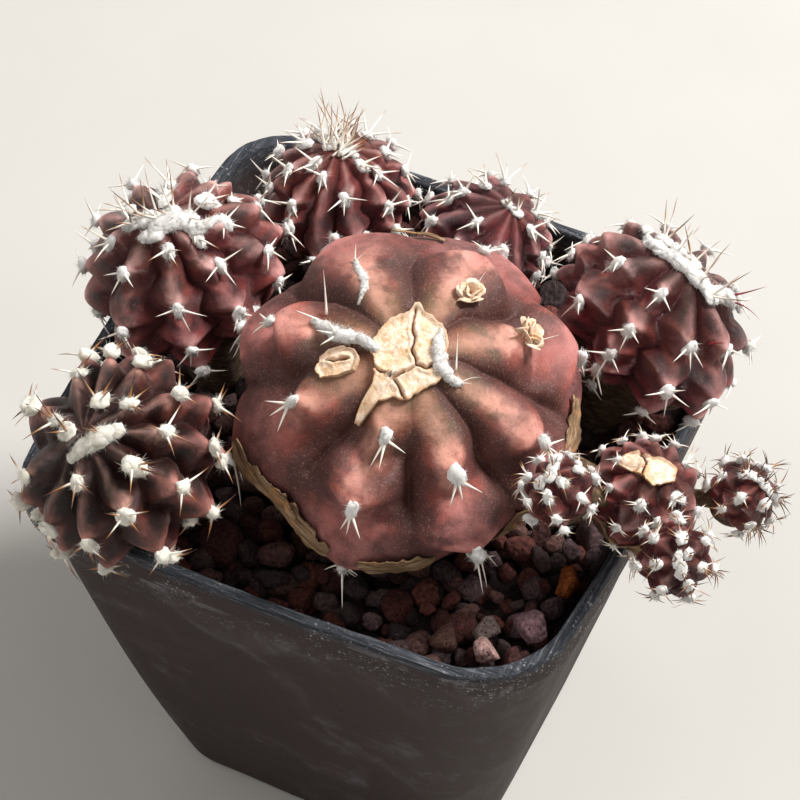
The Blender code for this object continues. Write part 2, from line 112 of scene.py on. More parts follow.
# Plant heads: the widest ring's centre, lean from upright and the bearing it leans to, its radius, heights
# above and below it, furrow and knob sizes, neck in the soil, ribs and what differs from HEAD_USUAL
HEADS = {
    "mother": dict(
        centre=(9.4, -10.6, 93.0), lean=17.6, bearing=-64.8, radius=27.0, top=18.5, bottom=19.0,
        furrow=0.112, knob=1.5, neck=(8.0, -9.0), neck_radius=15.0, furrow_start=6, calm=54, lag=9.0,
        soft=0.11, sink=0.17, chin=13.0, relief=(6.0, 0.5), fine_relief=0.07, bark=99.0,
        ribs=rib_rows(
            (-5, 55, 94), (39, 42, (74, -4), 104), (84, 55, 90), (139, 74, 104), (179, (22, 5), (54, 3), 88),
            (222, (41, 1), (93, 1)), (273, (27, 6), 56, 99), (316, 42, 83))),
    "offset_front_left": dict(
        centre=(-25.3, -39.0, 92.0), lean=29.5, bearing=-113.4, radius=15.8, top=14.5, bottom=11.0,
        round=0.35, furrow=0.17, knob=1.3, neck=(-22.0, -29.0), neck_radius=5.0,
        ribs=rib_rows(
            (-10, (33, -3), (63, 3), 96, (110, -11)), (21, (44, 2), 75, (90, -4)),
            (50, (28, 5), 56, (87, -2)), (83, (18, 6), 52, (82, 6)), (108, 56, 92),
            (130, (40, -2), 72, 100), (172, (19, 5), 40, 68, 96), (224, (45, 1), 76, 104),
            (255, (62, 1), 94), (282, (26, 2), (63, 2), (98, -2)),
            (317, (50, -1), 88, 109))),
    "offset_back_left": dict(
        centre=(-34.2, -0.5, 90.4), lean=14.1, bearing=-143.9, radius=15.8, top=15.8, bottom=10.0,
        furrow=0.145, knob=1.3, neck=(-30.0, 0.0), neck_radius=5.0,
        ribs=rib_rows(
            (-58, (23, 4), 55, 81, 106), (-24, (24, 17), (45, 8), (73, -2), (89, 10), (97, -6)),
            (14, (36, 8), 64, (85, -6)), (47, (25, -3), (63, 4), 88), (72, (43, 6), (55, -9), 84),
            (105, 10, 24, 58, 88), (145, 42, 74), (178, (20, 2), 55, 84),
            (212, (17, -3), (32, 6), (60, -2), (86, 12)), (261, (37, -3), (70, 2), 98))),
    "offset_back": dict(
        centre=(-21.0, 27.8, 86.0), lean=5.2, bearing=115.2, radius=11.6, top=12.0, bottom=10.0,
        furrow=0.12, knob=1.1, calm=64, neck=(-19.0, 26.0), neck_radius=4.0,
        ribs=rib_rows(
            (-52, (44, -7), (77, 9)), (-19, 24, 60, 80), (4, (37, -7), (75, 7)), (32, (38, 4), (58, -3), 86),
            (68, 30, 62, 92), (104, 44, 76), (146, 28, 60, 90), (184, 27, 54, 82), (218, (42, 2), 63, 92),
            (252, (23, -11), (58, -2), (75, 2)), (276, (29, -7), 96))),
    "offset_back_right": dict(
        centre=(3.4, 30.3, 84.4), lean=26.0, bearing=21.0, radius=10.6, top=11.0, bottom=9.6,
        furrow=0.12, knob=1.1, calm=64, neck=(3.0, 27.0), neck_radius=4.0,
        ribs=rib_rows(
            (-76, 46, 84), (-44, 66, 96), (-12, (24, -1), (49, 4), (65, -4), (100, -1)),
            (33, (25, 8), (41, 5), (62, -8), 90), (80, 36, 68), (125, 30, 58, 88), (166, (29, 1), 64, 96),
            (192, (42, -2), (56, 4), (92, -10)), (217, (70, -1), 100), (245, (36, -3), (60, 3), 88))),
    "offset_right": dict(
        centre=(36.2, 20.8, 90.4), lean=25.7, bearing=38.9, radius=16.4, top=15.0, bottom=10.5,
        squash=0.78, squash_bearing=67.0, furrow=0.145, knob=1.3, neck=(30.0, 17.0), neck_radius=5.0,
        ribs=rib_rows(
            (-58, (51, 5), 80, (107, -3)), (-26, (52, 6), (83, -2), (107, -2)), (12, 36, 66, 96),
            (48, 54, 84), (86, 36, 66, 96), (122, 48, 80), (152, (52, -3), 84),
            (174, (56, -6), (78, 4), 102), (213, (45, -2), (77, 6), 106),
            (262, (35, 2), (63, 1), 82, (99, -2), 118))),
    "offset_front_right": dict(
        centre=(48.2, -9.4, 88.0), lean=20.8, bearing=16.9, radius=8.7, top=9.0, bottom=8.2,
        furrow=0.09, knob=0.8, neck_radius=2.5,
        ribs=rib_rows(
            (-90, 45, (78, -6), (100, 1)), (-52, (33, 11), (56, -9), 84, (115, -11)), (-6, 54, 86),
            (52, 26, 58, 88), (92, 44, 76), (122, 39, 68, 98), (160, 52, 84), (198, 44, 75, 102),
            (229, 57, 72, 98))),
    "pup_upper": dict(
        centre=(39.4, -20.6, 97.4), lean=25.0, bearing=-150.0, radius=5.2, top=5.4, bottom=4.6,
        ribs=pup_ribs(-12, 36, 90, 140, 190, 242, 296, first=(30, 66, 96), second=(48, 84))),
    "pup_right": dict(
        centre=(62.0, -3.4, 89.0), lean=40.0, bearing=18.4, radius=5.2, top=5.6, bottom=4.8,
        ribs=pup_ribs(0, 52, 104, 154, 206, 256, 308)),
    "pup_lower": dict(
        centre=(58.4, -20.8, 92.0), lean=40.0, bearing=-57.3, radius=5.6, top=5.6, bottom=4.8,
        ribs=pup_ribs(6, 56, 106, 158, 208, 260, 310)),
}
# The usual values: how round the ribs are, the squash across the head and its bearing, the angles where
# furrows start and reach full depth, how far they lag behind the ridges, how blunt ridges are and how far
# they sink between areoles, the length of a chin, the size and depth of the skin's relief, its fine relief
# and the angle where bark starts
HEAD_USUAL = dict(
    furrow=0.13, knob=0.5, neck=None, neck_radius=1.5, round=0.6, squash=1.0, squash_bearing=0.0,
    furrow_start=4, calm=42, lag=8.0, soft=0.09, sink=0.175, chin=11.0, relief=(4.0, 0.25),
    fine_relief=0.05, bark=112.0, tables=None)
BIG_RADIUS = 20
SMALL_RADIUS = 9
for key, values in HEADS.items():
    plant = SimpleNamespace(**HEAD_USUAL | values)
    plant.centre = np.array(plant.centre)
    plant.big = plant.radius > BIG_RADIUS
    plant.small = plant.radius < SMALL_RADIUS
    HEADS[key] = plant

# Where the mother's furrows run between two ribs: angle from the crown and share of the way across
MOTHER_FURROWS = (
    ((17, 0.58), (25, 0.45), (50, 0.41), (75, 0.4), (100, 0.5)),
    ((25, 0.58), (32, 0.42), (50, 0.38), (80, 0.5)),
    ((23, 0.47), (40, 0.54), (50, 0.47), (80, 0.5)),
    ((26, 0.42), (39, 0.52), (55, 0.66), (90, 0.5)),
    ((20, 0.38), (32, 0.6), (45, 0.63), (58, 0.52)),
    ((30, 0.6), (45, 0.53), (70, 0.5)),
    ((11, 0.54), (25, 0.57), (38, 0.48), (60, 0.5), (83, 0.6)),
    ((25, 0.52), (32, 0.55), (43, 0.43), (63, 0.47)),
)
# How deep each of them is on the way: angle from the crown and share of the full depth
MOTHER_DEPTHS = {
    1: ((0, 0.7), (44, 1.0), (60, 0.35), (70, 0.15)),
    2: ((0, 0.7), (40, 0.9), (56, 0.4), (66, 0.1)),
    4: ((0, 0.2), (25, 0.8), (45, 1.4), (62, 0.9), (84, 0.4)),
    5: ((0, 0.2), (18, 0.6), (34, 1.6), (50, 1.1), (70, 0.4), (90, 0.3)),
    6: ((0, 0.0), (22, 0.1), (34, 1.7), (54, 1.4), (68, 0.3), (90, 0.25)),
    7: ((0, 0.4), (20, 1.1), (40, 1.5), (62, 1.2), (84, 0.4)),
}
PLAIN_DEPTH = ((0, 0.7), (54, 1.0), (84, 0.3))
# Heads that grow on another head, with that head
HOSTS = (dict.fromkeys(("pup_upper", "pup_right", "pup_lower"), "offset_front_right")
         | {"offset_front_right": "mother"})

# Tuft radius, spine length, how brown the spines' tips are, chance of a fourth spine, crown spine length
STYLES = {
    "mother": dict(tuft=1.25, spine=4.0, brown=0.0, extra=0.1),
    "offset_front_left": dict(tuft=1.5, spine=4.6, brown=0.85, extra=0.15, crown=5.0),
    "offset_back_left": dict(tuft=1.2, spine=4.2, brown=0.22, extra=0.15, crown=8.5),
    "offset_back": dict(tuft=1.1, spine=3.9, brown=0.12, extra=0.3, crown=6.0, lone=0.6),
    "offset_back_right": dict(tuft=0.95, spine=3.7, brown=0.15, extra=0.3, crown=4.5),
    "offset_right": dict(tuft=1.1, spine=4.0, brown=0.1, extra=0.1, crown=7.5),
    "offset_front_right": dict(tuft=0.85, spine=2.4, brown=0.45, extra=0.3),
    "pup_upper": dict(tuft=0.95, spine=2.3, brown=0.5, extra=0.6, crown=2.6),
    "pup_right": dict(tuft=0.9, spine=2.9, brown=1.1, extra=0.8, crown=3.6, lone=1.0),
    "pup_lower": dict(tuft=1.0, spine=2.7, brown=0.8, extra=0.7, crown=2.8),
}

# Rows of wool across each crown: bearing, half length, number of tufts and their radius
CROWN_WOOL = {
    "offset_front_left": (205.0, 2.8, 2, 1.2),
    "offset_back_left": (20.0, 4.6, 5, 1.5),
    "offset_back": (0.0, 1.6, 2, 1.0),
    "offset_back_right": (10.0, 1.0, 2, 0.9),
    "offset_right": (-23.0, 6.0, 5, 1.2),
    "pup_upper": (80.0, 1.6, 3, 1.0),
    "pup_right": (0.0, 1.6, 3, 1.0),
    "pup_lower": (90.0, 1.4, 3, 1.0),
}

# Wool that runs along the skin: at each place its angle from the crown, bearing and radius
STREAKS = {
    "mother": (
        ((38, 176, 0.6), (34, 177, 1.0), (28, 181, 1.3), (21, 184, 1.25), (16, 184, 0.9), (13, 189, 0.9),
         (11, 193, 0.7)),
        ((44, 139, 0.45), (39, 140, 0.75), (34, 140, 0.8), (30, 144, 0.6), (28, 149, 0.35), (27, 153, 0.25)),
        ((13, 62, 0.5), (10, 48, 0.95), (9, 25, 1.1), (11, 0, 1.1), (15, -8, 0.9), (19, -5, 0.65)),
        ((80, 316, 0.9), (83, 316, 1.35), (87, 316, 1.3), (91, 317, 0.9)),
    ),
    "offset_back_left": (
        ((14, -96, 1.2), (7, -49, 1.8), (9, 5, 1.7), (16, 2, 1.5), (24, 3, 1.3), (32, 20, 0.9)),
        ((33, 62, 1.0), (39, 52, 1.2)), ((16, 110, 1.2), (22, 116, 1.2))),
    "offset_front_left": (((15, -97, 1.0), (8, -66, 1.3), (9, -9, 1.5), (14, 16, 1.5), (20, 23, 1.1)),),
    "offset_back": (((33, 151, 0.8), (11, 160, 1.1), (5, 10, 1.0), (13, -3, 0.8)),),
    "offset_right": (
        ((35, 155, 1.1), (20, 177, 1.3), (9, 203, 1.5), (6, 286, 1.4), (14, 331, 1.4), (25, 361, 1.5),
         (31, 365, 1.3)),),
    "offset_front_right": (((33, -24, 0.8), (38, -22, 0.9)),),
}

# Spines that stand out: angle, bearing, direction right, up and towards the camera, length, radius, red, hook
LONE_SPINES = {
    "mother": (
        (35, 170, -0.05, 1.0, 0.25, 7.2, 0.22, 0, 0.05), (37, 175, -0.9, 0.4, 0.3, 4.2, 0.2, 0, 0.0),
        (45, 139, 0.05, 1.0, 0.2, 2.6, 0.18, 0, 0.0), (44, 139, 0.6, 0.7, 0.3, 1.8, 0.14, 0, 0.0),
        (16, 6, 0.03, 1.0, 0.2, 6.0, 0.17, 0, 0.0), (19, -5, 0.75, 0.6, 0.3, 3.6, 0.15, 0, 0.4),
        (19, -5, 0.7, 0.1, 0.3, 2.0, 0.15, 0, 0.1),
        (34, 74, 0.5, 0.9, 0.3, 3.8, 0.18, 0, 0.0), (33, 76, 0.1, 1.0, 0.3, 2.6, 0.14, 0, 0.0),
        (45, 37, 0.95, 0.3, 0.3, 4.6, 0.2, 0, -0.1), (45, 41, 0.3, 1.0, 0.3, 2.9, 0.17, 0, 0.0),
        (93, 222, 0.28, -1.0, 0.35, 8.2, 0.24, 0, 0.04),
        (99, 273, 0.0, -1.0, 0.15, 6.4, 0.24, 0, 0.0), (99, 271, -0.9, -0.2, 0.2, 2.2, 0.2, 0, 0.1),
        (99, 275, 0.9, -0.4, 0.2, 1.8, 0.2, 0, 0.1), (86, 316, 0.22, -1.0, 0.15, 6.6, 0.26, 0, 0.0),
        (86, 317, 0.36, -1.0, 0.1, 6.2, 0.22, 0, 0.0), (85, 318, 0.75, -0.65, 0.2, 3.8, 0.22, 0, 0.0),
    ),
    "offset_back": tuple(
        (3 + (n * 5) % 11, 37 * n, -0.5 + 0.06 * n + 0.1 * (n % 3), 1.0 - 0.02 * n, 0.25 - 0.3 * (n % 2),
         9.6 - 0.16 * n - 1.5 * ((n * 7) % 4) / 3, 0.24, 0, 0.02)
        for n in range(26)),
    "pup_right": tuple(
        (92 + 4 * (n % 3), -36 + 7 * n, -0.5 + 0.28 * n, -1.0, 0.3, 2.6 + 0.5 * (n % 2), 0.15, 0, 0.2)
        for n in range(6)),
    "offset_right": (
        (30, 8, 1.0, 0.2, 0.35, 6.0, 0.2, 1, -0.04), (31, 3, 1.0, -0.05, 0.35, 5.2, 0.2, 1, 0.5),
        (48, -36, 1.0, 0.15, 0.35, 3.2, 0.17, 1, 0.05),
    ),
}


# Random fields


def lattice(cells, seed):
    """A fixed random number from -1 to 1 for each whole cell."""
    mixed = cells[..., 0] * 73856093 ^ cells[..., 1] * 19349663 ^ cells[..., 2] * 83492791
    mixed = (mixed + seed * 374761393) & 0x7FFFFFFF
    mixed = ((mixed ^ (mixed >> 13)) * 1274126177) & 0x7FFFFFFF
    mixed = ((mixed ^ (mixed >> 15)) * 668265263) & 0x7FFFFFFF
    return ((mixed >> 7) & 0xFFFF) / 32767.5 - 1.0


def soft_noise(points, size, seed):
    """Smooth random values from -1 to 1 with bumps of a given size."""
    cells = np.asarray(points, float) / size
    lower = np.floor(cells).astype(np.int64)
    share = cells - lower
    share = share * share * (3 - 2 * share)
    total = np.zeros(cells.shape[:-1])
    for x in (0, 1):
        for y in (0, 1):
            for z in (0, 1):
                corner = np.array((x, y, z))
                weight = np.prod(np.where(corner == 1, share, 1 - share), axis=-1)
                total += weight * lattice(lower + corner, seed)
    return total


def layered_noise(points, size, seed, layers=3):
    total = 0.0
    for layer in range(layers):
        total = total + soft_noise(points, size / 2 ** layer, seed + layer) / 2 ** layer
    return total / (2 - 0.5 ** (layers - 1))


def smooth_step(value, low, high):
    share = np.clip((np.asarray(value, float) - low) / (high - low), 0, 1)
    return share * share * (3 - 2 * share)


# Meshes under construction


class Shape:
    """Points, faces and values at the points of one piece, in millimetres."""

    def __init__(self, *values):
        self.points = []
        self.faces = []
        self.values = {name: [] for name in values}
        self.count = 0

    def add(self, points, faces, **values):
        points = np.asarray(points, float).reshape(-1, 3)
        self.faces += [np.asarray(group, int) + self.count for group in faces]
        self.points.append(points)
        for name, kept in self.values.items():
            kept.append(np.broadcast_to(np.asarray(values.get(name, 0.0), float), len(points)))
        self.count += len(points)

    def build(self, name, finish, slot, replaced=None):
        mesh = bpy.data.meshes.new(name)
        points = np.concatenate(self.points) * MM
        mesh.vertices.add(len(points))
        mesh.vertices.foreach_set("co", points.astype(np.float32).ravel())
        sizes = np.concatenate([np.full(len(group), group.shape[1]) for group in self.faces])
        corners = np.concatenate([group.ravel() for group in self.faces])
        mesh.loops.add(len(corners))
        mesh.loops.foreach_set("vertex_index", corners.astype(np.int32))
        mesh.polygons.add(len(sizes))
        starts = np.concatenate(([0], np.cumsum(sizes)[:-1]))
        mesh.polygons.foreach_set("loop_start", starts.astype(np.int32))
        mesh.polygons.foreach_set("use_smooth", np.ones(len(sizes), bool))
        mesh.update(calc_edges=True)
        for key, kept in self.values.items():
            attribute = mesh.attributes.new(key, "FLOAT", "POINT")
            attribute.data.foreach_set("value", np.concatenate(kept).astype(np.float32))
        mesh.materials.append(finish)
        obj = link(name, mesh)
        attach(obj, "root")
        if replaced:
            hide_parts(replaced)
        return obj


def link(name, data):
    """An object of some data, in the scene."""
    obj = bpy.data.objects.new(name, data)
    bpy.context.scene.collection.objects.link(obj)
    return obj


def grid_faces(rows, columns):
    """Quads between rings of points."""
    row, column = np.meshgrid(np.arange(rows - 1), np.arange(columns), indexing="ij")
    after = (column + 1) % columns
    quads = (row * columns + column, row * columns + after,
             (row + 1) * columns + after, (row + 1) * columns + column)
    return np.stack(quads, -1).reshape(-1, 4)


def tube_faces(rings, sides, flip=False):
    """Faces of rings of points, closed by fans to the two points that come after the rings."""
    index = np.arange(sides)
    after = (index + 1) % sides
    total = rings * sides
    low = total - sides
    first = np.stack((np.full(sides, total), after, index), -1)
    final = np.stack((np.full(sides, total + 1), low + index, low + after), -1)
    return [group[:, ::-1] if flip else group for group in (grid_faces(rings, sides), first, final)]


def unit(vectors):
    vectors = np.asarray(vectors, float)
    return vectors / np.maximum(np.linalg.norm(vectors, axis=-1, keepdims=True), 1e-9)


# Heads


def skin_slot(name):
    return "mother_skin" if name == "mother" else "offset_skin"


def head_axes(head):
    lean = math.radians(head.lean)
    bearing = math.radians(head.bearing)
    k = np.array((math.sin(lean) * math.cos(bearing), math.sin(lean) * math.sin(bearing), math.cos(lean)))
    i = unit(np.array((1.0, 0, 0)) - k * k[0])
    return i, np.cross(k, i), k


def rib_bearing(head, turn):
    """Bearing of a rib number; a part of a rib lies between two ribs."""
    bearings = np.array([rib[0] for rib in head.ribs], float)
    turn = np.asarray(turn, float)
    lower = np.floor(turn).astype(int)
    share = turn - lower
    count = len(bearings)
    before = bearings[lower % count] + 360.0 * (lower // count)
    after = bearings[(lower + 1) % count] + 360.0 * ((lower + 1) // count)
    return before * (1 - share) + after * share


def turn_at(head, bearing):
    """The rib number at a bearing, the other way round from rib_bearing."""
    count = len(head.ribs)
    turns = np.arange(-2 * count, 2 * count + 1)
    return np.interp(np.asarray(bearing, float), rib_bearing(head, turns), turns)


FURROW_SWING = 0.2
CLEFT_WIDTH = 0.1
TABLE_STEP = 0.5


def rib_tables(head):
    """For each rib, by angle: ridge height, fullness of its pillows, pillow rims and chins below them."""
    if head.tables is not None:
        return head.tables
    grid = np.arange(0, 240, TABLE_STEP)
    blur = np.exp(-0.5 * (np.arange(-8, 9) * TABLE_STEP / 1.1) ** 2)
    blur /= blur.sum()
    tables = np.zeros((len(head.ribs), 4, len(grid)))
    for number, (_, marks) in enumerate(head.ribs):
        heights, fulls = [(0.0, 0.5)], [(0.0, 0.6)]
        start = 0.0
        rim = np.zeros(len(grid))
        below = np.zeros(len(grid))
        for order, (mark, _) in enumerate(marks):
            if order == 0 and not head.big and mark > 34:
                start = mark - 27.0
                heights[0] = (0.0, 0.2)
                heights.append((start, 0.12))
            gap = mark - start
            reach = head.chin
            if order + 1 < len(marks):
                reach = min(reach, 0.45 * (marks[order + 1][0] - mark))
            heights += [(start + gap * 0.3, 0.45 if order else 0.65), (start + gap * 0.7, 0.84),
                        (mark - 1.0, 1.0), (mark + 0.5, 0.97), (mark + reach * 0.35, 0.5),
                        (mark + reach, 0.0)]
            fulls += [(start + gap * 0.45, 1.0), (mark - 0.1 * gap, 0.8), (mark, 0.45),
                      (mark + reach * 0.4, 0.0), (mark + reach, 0.15)]
            rim = np.maximum(rim, np.exp(-((grid - mark + 2.0) / 3.2) ** 2))
            fade = smooth_step(-grid, -mark - reach * 1.5, -mark - reach * 0.6)
            below = np.maximum(below, smooth_step(grid, mark, mark + 2) * fade)
            start = mark + reach
        heights += [(start + 12, 0.15), (400, 0.15)]
        fulls += [(400, 0.4)]
        tables[number, 0] = np.interp(grid, *zip(*sorted(heights)))
        tables[number, 1] = np.interp(grid, *zip(*sorted(fulls)))
        tables[number, 2] = rim
        tables[number, 3] = below
        for row in range(2):
            padded = np.pad(tables[number, row], 8, mode="edge")
            tables[number, row] = np.convolve(padded, blur, mode="valid")
    head.tables = tables
    return tables


def look_up(head, rib, angle):
    tables = rib_tables(head)
    place = np.clip(angle / TABLE_STEP, 0, tables.shape[2] - 2)
    lower = np.floor(place).astype(int)
    share = place - lower
    row = rib % len(head.ribs)
    return [tables[row, kind, lower] * (1 - share) + tables[row, kind, lower + 1] * share
            for kind in range(4)]


def furrow_share(head, lower, angle):
    """Where the furrow between a rib and the next lies at an angle, 0 to 1 across."""
    if not head.big:
        left, right = look_up(head, lower, angle)[0], look_up(head, lower + 1, angle)[0]
        return 0.5 + FURROW_SWING * (left - right)
    share = np.full(angle.shape, 0.5)
    for number, path in enumerate(MOTHER_FURROWS):
        angles, shares = zip(*path)
        share = np.where(lower % len(head.ribs) == number, np.interp(angle, angles, shares), share)
    return share


def skin(head, angle, turn, lift=0.0, marks=False):
    """Points of a head's skin; with marks, also what its colours follow."""
    angle, turn, lift = np.broadcast_arrays(np.asarray(angle, float), np.asarray(turn, float), lift)
    i, j, k = head_axes(head)
    bearing = rib_bearing(head, turn)
    lower = np.floor(turn).astype(int)
    share = turn - lower
    centre = furrow_share(head, lower, angle)
    before = share < centre
    side = np.where(before, share / centre, (1 - share) / (1 - centre))
    rib = np.where(before, lower, lower + 1)
    tilt = np.radians(angle)
    rise, full, rim, chin = look_up(head, rib, angle + head.lag * side * smooth_step(angle, 0, 30))
    opening = smooth_step(angle, head.furrow_start, head.calm) * smooth_step(-angle, -150, -118)
    if head.big:
        power = 1.0 + (0.3 + 1.7 * full) * (1 - smooth_step(angle, 48, 80))
    else:
        power = 0.9 + head.round * full
    low, high = head.soft ** power, (1 + head.soft ** 2) ** (power / 2)
    across_rib = ((side ** 2 + head.soft ** 2) ** (power / 2) - low) / (high - low)
    ridge_height = head.knob - head.sink * head.radius * (1 - rise)
    depth = head.radius * head.furrow
    open_share = np.ones(angle.shape)
    if head.big:
        for number in range(len(head.ribs)):
            angles, shares = zip(*MOTHER_DEPTHS.get(number, PLAIN_DEPTH))
            open_share = np.where(lower % len(head.ribs) == number, np.interp(angle, angles, shares),
                                  open_share)
        depth = depth * open_share
    cleft = np.exp(-((1 - side) / CLEFT_WIDTH) ** 2)
    cleft_depth = 0.035 * head.radius * np.minimum(open_share, 1.0)
    cleft_depth = cleft_depth * smooth_step(
        soft_noise(np.stack((angle / 13, np.round(turn * 2) * 3.1, angle * 0), -1), 1.0, 77), -0.45, 0.35)
    height_axis = np.where(angle < 90, head.top, head.bottom)
    size = np.hypot(np.sin(tilt) / head.radius, np.cos(tilt) / height_axis)
    move = opening * ((1 - across_rib) * ridge_height - across_rib * depth - cleft * cleft_depth) + lift
    normal_out = np.sin(tilt) / head.radius / size
    normal_up = np.cos(tilt) / height_axis / size
    spread = head.radius * np.sin(tilt) + move * normal_out
    height = height_axis * np.cos(tilt) + move * normal_up
    swing = np.radians(bearing)
    across = np.radians(bearing - head.squash_bearing)
    spread = spread * (1 - (1 - head.squash) * np.cos(across) ** 2)
    flat = i * np.cos(swing)[..., None] + j * np.sin(swing)[..., None]
    points = head.centre + flat * spread[..., None] + k * height[..., None]
    if not marks:
        return points
    band = smooth_step(full, 0.5, 0.95) * (0.25 + 3.0 * side * (1 - side)) * (1 - rim)
    shallow = np.minimum(open_share, 1.0)
    return points, dict(ridge=1 - side * (0.45 + 0.55 * shallow), rim=rim * opening,
                        chin=chin * opening * (1 - side ** 3), crease=cleft * opening * shallow,
                        band=band * opening)


def skin_frame(head, angle, bearing):
    """A point of the skin, the outward direction and the direction down the rib."""
    angle, turn = float(angle), turn_at(head, bearing)
    here = skin(head, angle, turn)
    down = unit(skin(head, angle + 6, turn) - skin(head, angle - 6, turn))
    outward = here - head.centre
    side = unit(np.cross(outward, down))
    return here, unit(np.cross(down, side)), down


def polar_place(head, points):
    """Angle from the crown and rib number of the skin below some points."""
    i, j, k = head_axes(head)
    away = np.asarray(points, float) - head.centre
    up = away @ k
    height = np.where(up > 0, head.top, head.bottom)
    local = unit(np.stack((away @ i / head.radius, away @ j / head.radius, up / height), -1))
    angle = np.degrees(np.arccos(np.clip(local[..., 2], -1, 1)))
    bearing = np.degrees(np.arctan2(local[..., 1], local[..., 0]))
    return angle, turn_at(head, bearing)


# Columns for each rib and rows of points of a head at least as large as a radius
MESH_STEPS = ((BIG_RADIUS, 42, 138), (10, 18, 96), (7, 16, 76), (0, 14, 50))
# What the skin's colours follow: its value on the neck, and at the crown and the sole
NECK_TRAITS = dict(ridge=0.5, rim=0.0, chin=0.0, crease=0.0, band=0.0, polar=0.92)
END_TRAITS = dict(ridge=(0.6, 0.5), rim=(0, 0), chin=(0, 0), crease=(0, 0), band=(0, 0), polar=(0, 1),
                  cork=(0, 1))
NECK_STEPS = 9
# How many degrees earlier the mother's bark starts round some bearings: bearing, half width and degrees
EARLY_BARK = ((-115.0, 24.0, 15.0), (-68.0, 9.0, 11.0), (-28.0, 9.0, 11.0))


def build_body(name, head, finish):
    per_rib, rows = next(steps for least, *steps in MESH_STEPS if head.radius > least)
    count = len(head.ribs) * per_rib
    turns = np.arange(count) / per_rib
    around = rib_bearing(head, turns)
    angle, turn = np.meshgrid(np.linspace(1.2, 146.0 if head.neck else 176.0, rows), turns, indexing="ij")
    rings, traits = skin(head, angle, turn, marks=True)
    traits["polar"] = angle / 180
    if head.neck:
        swing = np.radians(around)
        collar = np.stack((head.neck[0] + head.neck_radius * np.cos(swing),
                           head.neck[1] + head.neck_radius * np.sin(swing),
                           np.full(count, SOIL_TOP + 2.0)), -1)
        shares = [smooth_step(step / NECK_STEPS, 0, 1) for step in range(1, NECK_STEPS + 1)]
        below = ([rings[-1] * (1 - share) + collar * share for share in shares]
                 + [collar - np.array((0, 0, 6.0))])
        rings = np.concatenate((rings, below))
        for key, filling in NECK_TRAITS.items():
            traits[key] = np.concatenate((traits[key], np.full((len(below), count), filling)))
    data = {key: grid.ravel() for key, grid in traits.items()}
    flat = rings.reshape(-1, 3)
    relief = layered_noise(flat, head.relief[0], 3, 3) * head.relief[1]
    if head.big:
        relief += soft_noise(flat, 11.0, 40) * 0.9
    relief += layered_noise(flat, 1.4, 9, 2) * head.fine_relief
    relief = relief * (1 - 0.95 * data["rim"])
    start = head.bark
    if head.big:
        relief = relief * smooth_step(data["polar"] * 180, 22, 38)
        for middle, half_width, early in EARLY_BARK:
            gap = (np.tile(around, len(rings)) - middle + 180) % 360 - 180
            start = start - early * np.exp(-(gap / half_width) ** 2)
    flat = flat + unit(flat - head.centre) * relief[:, None]
    ragged = layered_noise(flat, 5.0, 21, 3)
    data["cork"] = smooth_step(data["polar"] * 180 + ragged * 9, start, start + 5)
    data = {key: np.concatenate((data[key], ends)) for key, ends in END_TRAITS.items()}
    shape = Shape(*END_TRAITS)
    everything = np.concatenate((flat, [skin(head, 0.0, 0.0), rings[-1].mean(0)]))
    shape.add(everything, tube_faces(len(rings), count, flip=True), **data)
    if not head.neck:
        add_stalk(shape, name, head)
    return shape.build(name + "_body", finish, skin_slot(name), replaced=name)


STALK_RINGS = 9
STALK_SIDES = 24


def add_stalk(shape, name, head):
    """The short stem that holds a hosted head on its host's side."""
    host = HEADS[HOSTS[name]]
    start = head.centre
    toward = unit(host.centre - start)
    reach = np.linalg.norm(host.centre - start)
    for length in np.linspace(reach * 0.2, reach, 80):
        spot = start + toward * length
        surface = skin(host, *polar_place(host, spot))
        if np.linalg.norm(spot - host.centre) < np.linalg.norm(surface - host.centre) - 0.8:
            break
    across = unit(np.cross(toward, (0, 0, 1)))
    other = np.cross(toward, across)
    swing = np.linspace(0, 2 * math.pi, STALK_SIDES, endpoint=False)
    ring = np.cos(swing)[:, None] * across + np.sin(swing)[:, None] * other
    rings = []
    for share in np.arange(STALK_RINGS) / (STALK_RINGS - 1):
        radius = head.neck_radius * (1.5 - 0.7 * math.sin(share * math.pi * 0.5) + 0.35 * share ** 6)
        rings.append(start + toward * length * share + ring * radius)
    points = np.concatenate(rings + [[start], [start + toward * length]])
    shape.add(points, tube_faces(STALK_RINGS, STALK_SIDES), ridge=0.4, polar=0.9, cork=1.0)


# Wool and spines


def ball_template(level):
    bm = bmesh.new()
    bmesh.ops.create_icosphere(bm, subdivisions=level, radius=1.0)
    points = np.array([vertex.co for vertex in bm.verts])
    faces = np.array([[vertex.index for vertex in face.verts] for face in bm.faces])
    bm.free()
    return points, faces


BALLS = {level: ball_template(level) for level in (1, 2, 3)}


def add_fibres(shape, roots, directions, lengths, draw):
    """Fine hairs, each a three-sided spike."""
    count = len(roots)
    directions = unit(directions)
    across = unit(np.cross(directions, draw.normal(size=(count, 3))))
    other = np.cross(directions, across)
    tips = roots + directions * np.asarray(lengths, float)[:, None]
    corners = [roots + (across * math.cos(swing) + other * math.sin(swing)) * FIBRE_RADIUS
               for swing in (0.0, 2 * math.pi / 3, 4 * math.pi / 3)]
    points = np.stack(corners + [tips], 1)
    base = np.arange(count)[:, None, None] * 4
    faces = np.array(((0, 1, 3), (1, 2, 3), (2, 0, 3), (0, 2, 1)))
    tone = np.repeat(draw.uniform(0, 1, count), 4)
    shape.add(points.reshape(-1, 3), ((base + faces[None]).reshape(-1, 3),), tone=tone)


